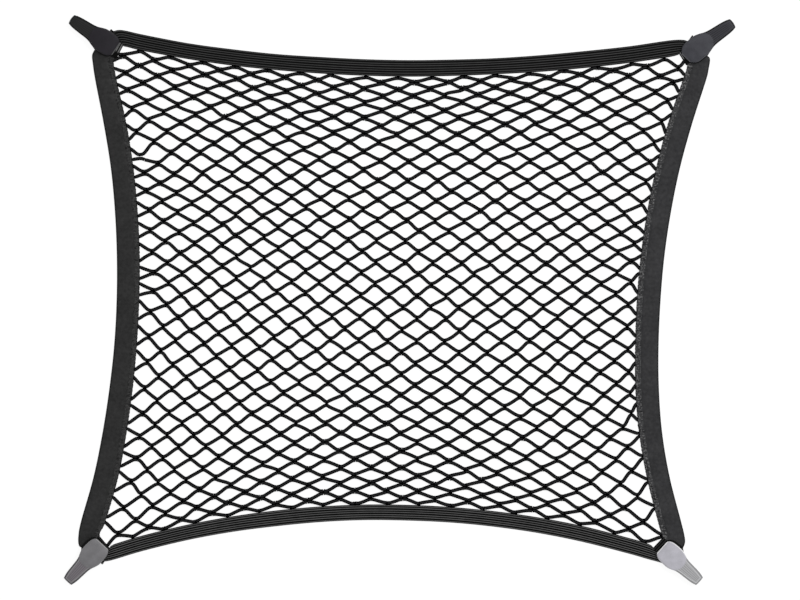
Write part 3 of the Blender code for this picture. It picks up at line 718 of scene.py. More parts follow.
# --- meshes ----------------------------------------------------------------------------------
def set_fields(mesh, fields):
    """Float attributes of a mesh's points, for its material or its tree."""
    for name, values in fields.items():
        field = mesh.attributes.new(name, "FLOAT", "POINT")
        field.data.foreach_set("value", np.ravel(values).astype(np.float32))


def loft(name, rings, material, **fields):
    """A closed skin through rings of points, with float attributes for its material."""
    stations, around = rings.shape[:2]
    index = np.arange(stations * around).reshape(stations, around)
    turned = np.roll(index, -1, axis=1)
    quads = np.stack([index[:-1], turned[:-1], turned[1:], index[1:]], axis=-1)
    faces = quads.reshape(-1, 4).tolist() + [index[0].tolist(), index[-1].tolist()]
    mesh = bpy.data.meshes.new(name)
    mesh.from_pydata(rings.reshape(-1, 3).tolist(), [], faces)
    set_fields(mesh, fields)
    build = bmesh.new()
    build.from_mesh(mesh)
    bmesh.ops.recalc_face_normals(build, faces=build.faces)
    bmesh.ops.triangulate(build, faces=[face for face in build.faces if len(face.verts) > 4])
    build.to_mesh(mesh)
    build.free()
    mesh.shade_smooth()
    mesh.materials.append(material)
    return add_object(name, mesh)


def polylines(name, paths, **fields):
    """Open lines through rows of points, as a mesh of edges for a tree to knit on."""
    count, stations = paths.shape[:2]
    index = np.arange(count * stations).reshape(count, stations)
    edges = np.stack([index[:, :-1], index[:, 1:]], axis=-1).reshape(-1, 2)
    mesh = bpy.data.meshes.new(name)
    mesh.from_pydata(paths.reshape(-1, 3).tolist(), edges.tolist(), [])
    set_fields(mesh, fields)
    return mesh


# --- the mesh's yarn -------------------------------------------------------------------------
def smooth_step(low, high, value):
    share = np.clip((value - low) / (high - low), 0.0, 1.0)
    return share * share * (3 - 2 * share)


def sewn_share(points):
    """How far into a sleeve each point lies, from 0 in the open mesh to 1 inside."""
    x, y = points[..., 0], points[..., 1]
    into_left = edge_x(SLEEVE_LEFT_ROWS, y) - x
    into_right = x - edge_x(SLEEVE_RIGHT_ROWS, y)
    return smooth_step(*SLEEVE_ENTRY, np.maximum(into_left, into_right))


def quarter_turn(way):
    return np.stack([-way[..., 1], way[..., 0]], axis=-1)


def knitted_unevenly(knots):
    """The knots moved where rows and columns of the knit are wider or tighter than the rest."""
    wide, high = knots.shape[0] - 1, knots.shape[1] - 1
    across, up = np.arange(wide + 1), np.arange(high + 1)
    column, low, top = np.array(COLUMN_DRIFT).T
    low, top = np.interp(across, column, low), np.interp(across, column, top)
    share = up / high
    shift_x = low[:, None] * (1 - share) + top[:, None] * share
    row, shift = np.array(ROW_DRIFT).T
    shift_y = np.broadcast_to(np.interp(up, row, shift), shift_x.shape)
    beside_sleeves = np.clip(np.minimum(across, wide - across) / 2, 0.0, 1.0)[:, None]
    beside_bands = np.clip(np.minimum(up, high - up) / 2, 0.0, 1.0)
    inner = (beside_sleeves * beside_bands)[..., None]
    moved = knots + np.stack([shift_x, shift_y], axis=2) * inner
    free = np.ones(knots.shape[:2])
    free[[0, -1]], free[:, [0, -1]], free[-2, :2 * RIGHT_FOOT_KNOTS] = 0.0, 0.0, 0.0
    for knot_across, knot_up, x, y, reach in PULLS:
        gap = (across[:, None] - knot_across) ** 2 + (up - knot_up) ** 2
        moved += (np.exp(-gap / reach**2) * free)[..., None] * np.array((x, y))
    return moved


def strand_paths(knots, random):
    """The cords between neighbouring knots, left to right. At a knot the upper cell's cords run
    over the lower cell's, so each cord starts and ends a little above or below its knot."""
    columns, rows = np.arange(2 * CELLS_WIDE), np.arange(2 * CELLS_HIGH + 1)
    i, j, up = np.meshgrid(columns, rows, (-1, 1), indexing="ij")
    real = ((i + j) % 2 == 0) & (j + up >= 0) & (j + up <= 2 * CELLS_HIGH)
    i, j, up = i[real], j[real], up[real]
    link = np.array((0.0, LINK_HALF))
    at_bands = (0, 2 * CELLS_HIGH)
    start = knots[i, j] + np.where(np.isin(j, at_bands), 0.0, up)[:, None] * link
    end = knots[i + 1, j + up] - np.where(np.isin(j + up, at_bands), 0.0, up)[:, None] * link
    from_sleeve = (i == 0) & ~np.isin(j, at_bands)
    edge = edge_x(SLEEVE_LEFT_ROWS, start[from_sleeve, 1])
    least, most = SEWN_DEPTHS
    start[from_sleeve, 0] = np.clip(start[from_sleeve, 0], edge - most, edge - least)
    for slip in SLIPPED_KNOTS:
        leaving = (i == slip.across) & (j == slip.up)
        arriving = (i + 1 == slip.across) & (j + up == slip.up)
        start[leaving & (up > 0)] += slip.upper_x, slip.upper_y
        end[arriving & (up < 0)] += slip.upper_x, slip.upper_y
        start[leaving & (up < 0)] += slip.lower_x, slip.lower_y
        end[arriving & (up > 0)] += slip.lower_x, slip.lower_y
    chord = end - start
    length = np.linalg.norm(chord, axis=1)
    wave = WAVE * (1 + WAVE_SPREAD * random.standard_normal(len(i)))
    leave, arrive = wave.copy(), wave.copy()
    leave[i == 0] *= SEWN_WAVE
    arrive[i + 1 == 2 * CELLS_WIDE] *= SEWN_WAVE
    for slip in SLIPPED_KNOTS:
        leave[(i == slip.across) & (j == slip.up) & (up > 0)] = slip.bend
        arrive[(i + 1 == slip.across) & (j + up == slip.up) & (up < 0)] = slip.bend
    bow = BOW * random.standard_normal(len(i))
    bow += SEWN_BOW * ((i + 1 == 2 * CELLS_WIDE) * 1.0 - (i == 0))
    t = np.linspace(0.0, 1.0, STRAND_STATIONS)
    side = -up[:, None] * quarter_turn(chord)
    swing = leave[:, None] * t * (1 - t) ** ROUNDING - arrive[:, None] * t**ROUNDING * (1 - t)
    swing += (bow / length)[:, None] * 4 * t * (1 - t)
    flat = start[:, None] + t[:, None] * chord[:, None] + swing[..., None] * side[:, None]
    sewn = sewn_share(flat)
    ripple = random.uniform(-1, 1, (len(i), 1)) * np.sin(math.pi * t)
    height = STRAND_HEIGHT + RIPPLE * ripple
    height = height + sewn * (SEWN_HEIGHT - height)
    return i, np.concatenate([flat, height[..., None]], axis=2), sewn


def knitting_tree():
    """Knits a chain of stitches along lines: a tube that swells twice a stitch."""
    ins = growing_tree("knitting", {
        "Radius": "NodeSocketFloat",
        "Flatness": "NodeSocketFloat",
        "Stitch relief": "NodeSocketFloat",
        "Sides": "NodeSocketInt",
        "Material": "NodeSocketMaterial",
    })
    line = ins["Geometry"].node("GeometryNodeMeshToCurve", sockets={"Mesh": ins["Geometry"]})
    line = line.node("GeometryNodeSetCurveNormal", {"mode": "Z_UP"}, {"Curve": line})
    count = line.node("GeometryNodeSplineParameter", out="Index")
    swell = count.math("MODULO", count, 2.0) * 2.0 - 1.0
    radius = ins["Radius"] * named(line, "slim") * (1.0 + ins["Stitch relief"] * swell)
    line = stored(line, "swell", swell)
    line = line.node("GeometryNodeSetCurveRadius", sockets={"Curve": line, "Radius": radius})
    profile = line.node("GeometryNodeCurvePrimitiveCircle", sockets={
        "Resolution": ins["Sides"], "Radius": 1.0,
    })
    turn = profile.node("ShaderNodeCombineXYZ", sockets={"Z": math.pi / ins["Sides"]})
    profile = profile.node("GeometryNodeTransform", sockets={"Geometry": profile, "Rotation": turn})
    press = profile.node("ShaderNodeCombineXYZ", sockets={
        "X": FLATS_TO_WIDTH, "Y": ins["Flatness"], "Z": 1.0,
    })
    profile = profile.node("GeometryNodeTransform", sockets={"Geometry": profile, "Scale": press})
    radius_there = line.node("GeometryNodeInputRadius")
    tube = line.node("GeometryNodeCurveToMesh", sockets={
        "Curve": line, "Profile Curve": profile, "Scale": radius_there, "Fill Caps": True,
    })
    normal = tube.node("GeometryNodeInputNormal")
    upright = normal.node("ShaderNodeSeparateXYZ", sockets={"Vector": normal}, out="Z")
    # Painted light: how squarely the tube faces up or down, where the yarn paints a strand lighter.
    tube = stored(tube, "crest", upright.math("ABSOLUTE", upright))
    tube = tube.node("GeometryNodeSetShadeSmooth", sockets={"Geometry": tube})
    close_tree(tube, ins["Material"])
    return ins["Geometry"].tree


def make_strands(knots, yarn, random):
    """The cords of the left and right half of the mesh."""
    tree = knitting_tree()
    column, paths, sewn = strand_paths(knots, random)
    halves = {"net_left": column < CELLS_WIDE, "net_right": column >= CELLS_WIDE}
    values = {
        "Radius": STRAND_RADIUS, "Flatness": STRAND_FLATNESS, "Stitch relief": STITCH_RELIEF,
        "Sides": STRAND_SIDES, "Material": yarn,
    }
    slim = 1 - (1 - SEWN_RADIUS) * sewn
    return [
        grow(name, polylines(name, paths[half], slim=slim[half]), tree, values)
        for name, half in halves.items()
    ]


def link_tree():
    """Sets a knitted link on every point, grown or pressed by the point's own scale."""
    ins = growing_tree("links", {
        "Width": "NodeSocketFloat",
        "Height": "NodeSocketFloat",
        "Thickness": "NodeSocketFloat",
        "Material": "NodeSocketMaterial",
    })
    bench = ins["Geometry"]
    bead = bench.node("GeometryNodeMeshIcoSphere", sockets={"Radius": 1.0, "Subdivisions": 2})
    size = bench.node("ShaderNodeCombineXYZ", sockets={
        "X": ins["Width"], "Y": ins["Height"], "Z": ins["Thickness"],
    })
    scale = bench.node("ShaderNodeVectorMath", {"operation": "SCALE"}, {
        "Vector": size, "Scale": named(bench, "slim"),
    })
    beads = bench.node("GeometryNodeInstanceOnPoints", sockets={
        "Points": ins["Geometry"], "Instance": bead, "Scale": scale,
    })
    beads = beads.node("GeometryNodeSetShadeSmooth", sockets={"Geometry": beads})
    close_tree(beads, ins["Material"])
    return bench.tree


def make_links(knots, yarn):
    """The short links where two strands of the mesh run together, and where they meet a band."""
    wide, high = knots.shape[:2]
    slipped = {(slip.across, slip.up) for slip in SLIPPED_KNOTS}
    met = [
        (i, j) for i in range(1, wide - 1) for j in range(high)
        if (i + j) % 2 == 0 and (i, j) not in slipped
    ]
    i, j = np.array(met).T
    places = knots[i, j]
    towards_band = np.where(j == 0, -1.0, np.where(j == high - 1, 1.0, 0.0))
    places[:, 1] += towards_band * BAND_LINK_SHIFT
    sewn = sewn_share(places)
    height = STRAND_HEIGHT + sewn * (SEWN_HEIGHT - STRAND_HEIGHT)
    points = np.concatenate([places, height[:, None]], axis=1)
    mesh = bpy.data.meshes.new("net_links")
    mesh.from_pydata(points.tolist(), [], [])
    size = 1 - (1 - SEWN_RADIUS) * sewn + (BAND_LINK_SIZE - 1) * np.abs(towards_band)
    set_fields(mesh, {"slim": size})
    return grow("net_links", mesh, link_tree(), {
        "Width": LINK_SIZE[0], "Height": LINK_SIZE[1], "Thickness": LINK_SIZE[2], "Material": yarn,
    })


# --- bands, sleeves and straps ---------------------------------------------------------------
def strip_rings(rows, base, across, height):
    """Rings of a strip: across is from 0 at the inner edge to 1 at the outer one, and height
    is above the strip's base."""
    inner, outer = rows[:, None, 2:], rows[:, None, :2]
    flat = inner + across[..., None] * (outer - inner)
    z = np.broadcast_to(base[:, None] + height, flat.shape[:2])
    return np.concatenate([flat, z[..., None]], axis=2)


def ribbed_section(ribs, thickness):
    """Across, height and rib of a ribbed elastic's closed section, ribs on both faces."""
    top = np.linspace(0.0, 1.0, 4 * ribs + 1)
    wave = np.abs(np.sin(top * ribs * math.pi)) ** RIB_ROUNDNESS
    groove = np.rint(top * ribs).astype(int) % len(GROOVE_DEPTHS)
    wave = 1 - (1 - wave) * np.array(GROOVE_DEPTHS)[groove]
    low = np.linspace(1.0, 0.0, 2 * ribs + 1)
    low_wave = np.abs(np.sin(low * ribs * math.pi)) ** RIB_ROUNDNESS
    edge_drop = EDGE_DROP * thickness
    top_height = thickness - RIB_DEPTH * (1 - wave)
    top_height[[0, -1]] -= edge_drop
    low_height = RIB_DEPTH * LOW_RIB_SHARE * (1 - low_wave)
    low_height[[0, -1]] += edge_drop
    across = np.concatenate([top, low])
    return across, np.concatenate([top_height, low_height]), np.concatenate([wave, low_wave])


def ribbed_strip(name, rows, thickness, base, ribs, material):
    """An elastic strip with ribs along it."""
    across, height, rib = ribbed_section(ribs, thickness)
    across, height = np.broadcast_to(across, (len(rows), len(across))), height[None]
    along = np.broadcast_to(run_along(rows)[:, None], across.shape)
    rings = strip_rings(rows, base, across, height)
    rib = np.broadcast_to(rib, across.shape)
    return loft(name, rings, material, along=along, across=across, rib=rib)


def make_bands(elastics):
    made = {}
    for name, left, rows, right in (
        ("band_top", "top_left", BAND_TOP_ROWS, "top_right"),
        ("band_bottom", "bottom_left", BAND_BOTTOM_ROWS, "bottom_right"),
    ):
        fine = smooth_curve(whole_band(CLIPS[left], rows, CLIPS[right]), BAND_STEPS)
        lift = rise(fine, STRAP_HEIGHT)
        made[name] = ribbed_strip(
            f"{name}_elastic", fine, BAND_THICKNESS, lift, BAND_RIBS, elastics[name]
        )
    return made


def sleeve_rings(rows, lumps):
    """Rings of a tape folded round the mesh's cords and stitched down along its inner edge."""
    along = run_along(rows)[:, None]
    width = np.linalg.norm(rows[:, :2] - rows[:, 2:], axis=1)[:, None]
    across = np.array([across for across, _ in SLEEVE_SECTION])[None]
    height = np.array([height for _, height in SLEEVE_SECTION])[None]
    fine, slow, coarse, slower = WAVER_TURNS
    waver = np.sin(along * fine + 2 * np.sin(along * slow))
    waver = waver + np.sin(along * coarse + np.sin(along * slower))
    edge = (1 - smooth_step(0.0, 0.5, across)) * waver * EDGE_WAVER
    rings = strip_rings(rows, np.zeros(len(rows)), across + edge / width, height)
    x, y = rings[..., 0], rings[..., 1]
    on_top = height > SLEEVE_THICKNESS / 2
    lump = np.zeros_like(x)
    for knot_x, knot_y in lumps:
        away = (x - knot_x) ** 2 + (y - knot_y) ** 2
        lump = np.maximum(lump, np.exp(-away / (2 * LUMP_REACH**2)))
    strip = 1 - smooth_step(*STRIP_END, across * width)
    fine, slow, coarse = PUCKER_TURNS
    pucker = np.sin(along * fine + 3 * across + 2 * np.sin(along * slow))
    pucker = pucker * np.sin(along * coarse + 4 * across)
    fine, slow = SOFT_TURNS
    soft = np.sin(along * fine + 5 * across) * np.sin(along * slow + 1.0 - 7 * across)
    puff = lump * LUMP_HEIGHT + strip * pucker * PUCKER_HEIGHT + soft * SOFT_HEIGHT
    rings[..., 2] += np.where(on_top, puff, 0.0)
    fields = {"along": np.broadcast_to(along, x.shape), "across": np.broadcast_to(across, x.shape)}
    fields |= {"strip": strip * np.ones_like(x), "lump": lump, "pucker": strip * pucker}
    return rings, fields


def zigzag(rows, rings):
    """The overlock thread that runs to and fro over a sleeve's stitched strip."""
    along = run_along(rows)
    places = np.arange(THREAD_MARGIN, along[-1] - THREAD_MARGIN, ZIGZAG_PITCH / 2)
    width = np.linalg.norm(rows[:, :2] - rows[:, 2:], axis=1)
    points = []
    for n, place in enumerate(places):
        row = np.array([np.interp(place, along, rows[:, k]) for k in range(4)])
        share = ZIGZAG_ACROSS[n % 2] / np.interp(place, along, width)
        x, y = row[2:] + share * (row[:2] - row[2:])
        station = np.searchsorted(along, place)
        ring = rings[min(station, len(rings) - 1)]
        near = np.argsort((ring[:, 0] - x) ** 2 + (ring[:, 1] - y) ** 2)[:4]
        points.append((x, y, ring[near, 2].max() + THREAD_RADIUS * THREAD_SINK))
    return np.array(points)


def make_sleeves(tapes, thread, knots):
    made, threads = {}, {}
    tree = knitting_tree()
    for name, top, rows, bottom, side in (
        ("sleeve_left", "top_left", SLEEVE_LEFT_ROWS, "bottom_left", 0),
        ("sleeve_right", "top_right", SLEEVE_RIGHT_ROWS, "bottom_right", -1),
    ):
        fine = smooth_curve(whole_sleeve(CLIPS[top], rows, CLIPS[bottom]), SLEEVE_STEPS)
        rings, fields = sleeve_rings(fine, knots[side, 2:-2:2])
        rings[..., 2] += rise(fine, SLEEVE_LIFT)[:, None]
        made[name] = loft(f"{name}_tape", rings, tapes[name], **fields)
        path = zigzag(fine, rings)
        line = polylines(f"{name}_thread", path[None], slim=np.ones((1, len(path))))
        threads[name] = grow(f"{name}_thread", line, tree, {
            "Radius": THREAD_RADIUS, "Flatness": THREAD_FLATNESS, "Stitch relief": 0.0,
            "Sides": THREAD_SIDES, "Material": thread,
        })
    return made, threads


def make_straps(elastics):
    """The short elastic pieces that cross the clips' axes between band and sleeve."""
    made = {}
    for corner, clip in CLIPS.items():
        rows = []
        for share in np.linspace(-STRAP_OVERRUN, 1 + STRAP_OVERRUN, STRAP_ROWS):
            outer_v = (2 * share - 1) * STRAP_OUTER_HALF
            inner_u = clip.sleeve_u + share * (clip.band_u - clip.sleeve_u)
            inner_v = clip.sleeve_v + share * (clip.band_v - clip.sleeve_v)
            outer = at_clip(clip, strap_outer(clip), outer_v)
            rows.append((*outer, *at_clip(clip, inner_u, inner_v)))
        base = np.full(len(rows), STRAP_HEIGHT)
        name = f"strap_{corner}"
        elastic = elastics["strap_top" if "top" in corner else "strap_bottom"]
        made[name] = ribbed_strip(
            f"{name}_elastic", np.array(rows), STRAP_THICKNESS, base, STRAP_RIBS, elastic
        )
    return made


# --- clips -----------------------------------------------------------------------------------
def fine_sections():
    """The clip's sections with smooth ones drawn between them, as inner u and z, outer u and z
    and half width. u is for the nominal length."""
    head, hook = np.array(HEAD_SECTIONS), np.array(HOOK_SECTIONS)
    hook[:, [0, 2]] = NOMINAL_LENGTH - hook[:, [0, 2]]
    return smooth_curve(np.concatenate([head, hook]), CLIP_STEPS)


def crown():
    """Across a clip's section: shares of its half width and of its height."""
    width, height = np.array(CROWN_SIDE).T
    top = np.linspace(CROWN_TOP_HALF, -CROWN_TOP_HALF, CROWN_TOP_POINTS)
    low = np.linspace(-CROWN_LOW_HALF, CROWN_LOW_HALF, CROWN_LOW_POINTS)
    width = np.concatenate([width, top, -width[::-1], low])
    height = np.concatenate([height, np.ones_like(top), height[::-1], np.zeros_like(low)])
    return width, height


def clip_rings(clip):
    """Rings of a clip's head, tail and hook in the net's frame, and fields for its plastic."""
    inner_u, inner_z, outer_u, outer_z, half = fine_sections().T[..., None]
    width, height = crown()
    shown = (height > SHOWN_FROM) & (outer_z > inner_z)
    on_top = height > TOP_FROM
    to_tip = np.clip(1 - (NOMINAL_LENGTH - outer_u) / TIP_LENGTH, 0.0, 1.0)
    to_inner_edge = np.clip(1 - outer_u / ROUNDING_END, 0.0, 1.0)
    half = half * (1 - clip.rounding * to_inner_edge**2)
    u = inner_u + height * (outer_u - inner_u) - clip.tip_bow * width**2 * to_tip
    v = width * half
    inset = np.minimum((1 - np.abs(width)) * half, np.maximum(NOMINAL_LENGTH - u, 0.0))
    tail = smooth_step(*TAIL_START, u) * (outer_z > HOOK_TOP) * shown
    pad = np.hypot((u - PAD_MIDDLE) / PAD_LENGTH, v / PAD_WIDTH)
    pad = 1 - smooth_step(*PAD_EDGE, pad)
    groove = np.exp(-(((inset - GROOVE_INSET) / GROOVE_HALF_WIDTH) ** 2)) * tail
    ribs = np.cos(TAIL_RIBS * width) * tail * (inset > GROOVE_INSET + GROOVE_HALF_WIDTH)
    dome = 1 - DOME * width**2 * on_top
    z = inner_z + height * dome * (outer_z - inner_z)
    z = z - GROOVE_DEPTH * groove + TAIL_RIB_HEIGHT * ribs
    z = z - PAD_STEP * (1 - pad) * on_top * shown
    # Painted shadow: over the sleeve the head's lower edge flares out, and the plastic paints that
    # flare near black.
    over_sleeve = (v < 0) * (1 - smooth_step(*SHADOW_SKIRT_END, u))
    v = v - (height < SHADOW_SKIRT_TO) * (np.abs(width) > SHADOW_SKIRT_FROM) * over_sleeve * clip.skirt
    turned = np.maximum(0.0, 1.0 - inner_u / HEAD_BEND_END)
    lean = 2 * clip.bend * turned / HEAD_BEND_END
    along = u * stretch(clip) + lean * v
    aside = (v + clip.bend * turned * turned) * clip.side
    points = np.stack([along, aside, z], axis=2)
    place = clip_matrix(clip)
    points = points @ np.array(place.to_3x3()).T + np.array(place.translation)
    spread = np.ones_like(u)
    fields = {
        "along": u / NOMINAL_LENGTH, "across": width * spread, "inset": inset * spread,
        "low": (1 - smooth_step(*LOW_SHADE, height)) * spread, "shown": shown * spread,
        "tail": tail * spread, "pad": pad * spread, "rib": ribs * spread,
    }
    return points, fields


def moulded_block(mesh, clip, low, high):
    """A block with rounded edges between two corners in a clip's U, V and Z, joined to its
    mesh."""
    build = bmesh.new()
    bmesh.ops.create_cube(build, size=1.0)
    low, high = Vector(low), Vector(high)
    for corner in build.verts:
        share = corner.co + Vector((0.5, 0.5, 0.5))
        corner.co = Vector([a + (b - a) * t for a, b, t in zip(low, high, share)])
    bmesh.ops.bevel(
        build, geom=build.edges[:], offset=BLOCK_ROUNDING, segments=3, profile=0.5, affect="EDGES"
    )
    build.transform(clip_matrix(clip))
    bmesh.ops.recalc_face_normals(build, faces=build.faces)
    for face in build.faces:
        face.smooth = True
    block = bpy.data.meshes.new("block")
    build.to_mesh(block)
    build.clear()
    build.from_mesh(mesh)
    build.from_mesh(block)
    build.to_mesh(mesh)
    build.free()
    bpy.data.meshes.remove(block)


def make_clips(plastics):
    made = {}
    for corner, clip in CLIPS.items():
        rings, fields = clip_rings(clip)
        piece = loft(f"clip_{corner}_moulding", rings, plastics[clip.material], **fields)
        u, half = stretch(clip), BASE_HALF_WIDTH
        for start, top in ((BASE_START, BASE_THICKNESS), (POST_START, POST_TOP)):
            moulded_block(piece.data, clip, (start * u, -half, 0.0), (POST_END * u, half, top))
        made[f"clip_{corner}"] = piece
    return made


# --- materials -------------------------------------------------------------------------------
WEFT_PITCH = 0.0011          # of an elastic's cross threads
WARP_PITCH = 0.0009          # of a tape's threads, along it
TAPE_WEFTS = 32              # threads across a tape
# Each pair is where a tone starts to change and where it has changed. The hems are shares of
# a tape's width. The next three are shares of a clip's length, and the rest are distances in
# from its side, in metres.
INNER_HEM = (0.01, 0.05)
OUTER_HEM = (0.91, 0.96)
TAIL_TONE_START = (0.42, 0.58)
INNER_HIGHLIGHT = (0.008, 0.022)
SIDE_HIGHLIGHT_END = (0.34, 0.50)
SIDE_HIGHLIGHT = (0.0006, 0.0013)
LINE_START = (0.0021, 0.0025)
LINE_END = (0.0030, 0.0035)
OUTLINE_PAINTED_SHADE = (0.0014, 0.0022)


def finish(name, specular, roughness, build):
    """A material whose base colour, roughness and normal come from build."""
    made = bpy.data.materials.new(name)
    made.use_nodes = True
    shader = made.node_tree.nodes["Principled BSDF"]
    set_inputs(shader, {"Specular IOR Level": specular, "Roughness": roughness})
    for socket, wire in build(Wire(made.node_tree)).items():
        made.node_tree.links.new(wire.out, shader.inputs[socket])
    return made


def mix_colours(share, under, over):
    """Two colours or wires of colours mixed, over by its share."""
    return share.node("ShaderNodeMix", {"data_type": "RGBA"}, {0: share, 6: under, 7: over}, out=2)


def blend_colours(share, low, high):
    return mix_colours(share, (*low, 1.0), (*high, 1.0))


def field(bench, name):
    return bench.node("ShaderNodeAttribute", {"attribute_name": name}, out="Fac")


def noise(bench, scale, detail=2.0, stretch_by=None):
    place = bench.node("ShaderNodeTexCoord", out="Object")
    if stretch_by:
        place = bench.node("ShaderNodeMapping", sockets={"Vector": place, "Scale": stretch_by})
    sockets = {"Vector": place, "Scale": scale, "Detail": detail}
    return bench.node("ShaderNodeTexNoise", sockets=sockets, out="Fac")


def between(wire, low, high):
    """0 below low, 1 above high, and smooth from one to the other."""
    return wire.node("ShaderNodeMapRange", {"interpolation_type": "SMOOTHSTEP"}, {
        "Value": wire, "From Min": low, "From Max": high,
    })


def bump(height, distance):
    return height.node("ShaderNodeBump", sockets={"Height": height, "Distance": distance})


def net_yarn():
    def build(bench):
        # Painted light: a strand is painted lighter where it faces up or down and near black on its
        # sides, as if lit from above.
        crest = between(field(bench, "crest"), 0.70, 1.0)
        fibre = noise(bench, 2600.0, 3.0)
        light = crest * (0.55 + 0.9 * fibre)
        return {
            "Base Color": blend_colours(light, (0.0002, 0.0002, 0.0003), (0.018, 0.018, 0.019)),
            "Normal": bump(fibre + field(bench, "swell") * 0.2, 0.0003),
        }
    return finish("net_yarn", 0.0, 0.9, build)


def ribbed_elastic(name, low, high, painted_shadow_length=0.0):
    def build(bench):
        rib = field(bench, "rib")
        weft = field(bench, "along") * (2 * math.pi / WEFT_PITCH)
        weft = weft.math("SINE", weft) * 0.5 + 0.5
        fibre = noise(bench, 1800.0, 3.0)
        patchy = noise(bench, 90.0, 2.0)
        # Painted light and shade: the rib tops are painted lighter and the grooves darker.
        light = between(rib, 0.80, 1.00) * (0.7 + 0.3 * weft)
        light = light * (0.35 + 0.7 * fibre + 0.6 * patchy)
        # Painted shadow: the first stretch of a strap, which lies in the clip's shade, is painted
        # dark.
        if painted_shadow_length:
            light = light * between(field(bench, "along"), painted_shadow_length, 1.5 * painted_shadow_length)
        return {
            "Base Color": blend_colours(light, (low,) * 3, (high,) * 3),
            "Normal": bump(weft + fibre, 0.0002),
        }
    return finish(name, 0.03, 0.8, build)


def woven_tape(name, low, high, glint_tone):
    def build(bench):
        along, across = field(bench, "along"), field(bench, "across")
        warp = along * (2 * math.pi / WARP_PITCH)
        weft = across * (2 * math.pi * TAPE_WEFTS)
        weave = warp.math("SINE", warp) * weft.math("SINE", weft) * 0.5 + 0.5
        fibre = noise(bench, 1500.0, 3.0)
        cloudy = noise(bench, 45.0, 3.0)
        mottled = noise(bench, 260.0, 2.0)
        streaks = noise(bench, 30.0, 3.0, (1.0, 7.0, 1.0))
        strip, lump, pucker = field(bench, "strip"), field(bench, "lump"), field(bench, "pucker")
        pit = between(noise(bench, 330.0, 1.0), 0.50, 0.60)
        light = 0.25 * fibre + 0.15 * weave + 0.5 * cloudy + 0.25 * streaks + 0.7 * mottled - 0.45
        # Painted light and shade: raised puckers and the lumps over sewn knots are painted lighter,
        # pucker troughs darker.
        light = light + strip * (0.35 * pucker + 0.25 * fibre - 0.5 * pit + 0.1) + 0.25 * lump
        inside_hems = between(across, *INNER_HEM) * (1.0 - between(across, *OUTER_HEM))
        cloth = blend_colours(light * (0.25 + 0.75 * inside_hems), low, high)
        # Painted highlight: glints of thread, painted as pale flecks over the stitched strip.
        thread_glint = strip * between(noise(bench, 450.0, 1.0), 0.55, 0.62)
        return {
            "Base Color": mix_colours(thread_glint, cloth, (glint_tone,) * 3 + (1.0,)),
            "Normal": bump(0.5 * weave + fibre + 0.6 * pucker, 0.00025),
        }
    return finish(name, 0.04, 0.85, build)


def sewing_thread():
    def build(bench):
        fibre = noise(bench, 2400.0, 2.0)
        return {"Base Color": blend_colours(fibre, (0.03, 0.03, 0.03), (0.10, 0.10, 0.10))}
    return finish("sewing_thread", 0.05, 0.7, build)


# A clip's plastic: two tones of its head and of its tail, its painted edge highlights, its painted
# shade round the tail's edge, the painted highlight on the line moulded inside that, and how strong
# the edge highlight is beside the sleeve and beside the band.
Shades = namedtuple(
    "Shades", "head_low head_high tail_low tail_high rim edge line sleeve_rim band_rim"
)


def plastic(name, shades):
    def build(bench):
        grain = noise(bench, 1400.0, 3.0)
        cloudy = noise(bench, 110.0, 2.0)
        along, inset = field(bench, "along"), field(bench, "inset")
        shown, tail = field(bench, "shown"), field(bench, "tail")

        def laid_over(under, share, colour):
            return mix_colours(share, under, (*colour, 1.0))

        head = blend_colours(0.4 * grain + 0.9 * cloudy - 0.10, shades.head_low, shades.head_high)
        # Painted light: the tail's fine ribs are painted lighter on their tops and darker between
        # them.
        ribs = field(bench, "rib") * 0.35 + 0.45
        tail_with_painted_rib_light = blend_colours(ribs * (0.6 + 0.8 * grain), shades.tail_low, shades.tail_high)
        off_pad = 1.0 - field(bench, "pad")
        on_tail = off_pad * between(along, *TAIL_TONE_START)
        body = mix_colours(on_tail, head, tail_with_painted_rib_light)
        # Painted highlight: the head's inner edge, and more weakly its sides, are painted pale.
        inner = 1.0 - between(along, *INNER_HIGHLIGHT)
        on_band_side = between(field(bench, "across"), -0.1, 0.1)
        side_highlight_strength = shades.sleeve_rim + (shades.band_rim - shades.sleeve_rim) * on_band_side
        side = (1.0 - between(inset, *SIDE_HIGHLIGHT)) * (1.0 - between(along, *SIDE_HIGHLIGHT_END))
        side = side * side_highlight_strength
        rim = inner.math("MAXIMUM", inner, side) * shown * (0.6 + 0.7 * grain)
        colour = laid_over(body, rim, shades.rim)
        # Painted highlight: the line moulded round the tail is painted lighter than the tail on
        # most clips.
        line = between(inset, *LINE_START) * (1.0 - between(inset, *LINE_END)) * tail
        colour = laid_over(colour, line * (0.5 + 0.5 * grain), shades.line)
        # Painted shade: a dark outline round the tail's sides and tip.
        edge = (1.0 - between(inset, *OUTLINE_PAINTED_SHADE)) * tail
        colour = laid_over(colour, edge, shades.edge)
        return {
            # Painted shade: the clip's lower side, with its flare over the sleeve, is painted near
            # black.
            "Base Color": laid_over(colour, field(bench, "low"), (0.0005, 0.0005, 0.0005)),
            "Roughness": 0.42 + 0.16 * grain,
            "Normal": bump(grain, 0.00008),
        }
    return finish(name, 0.15, 0.45, build)


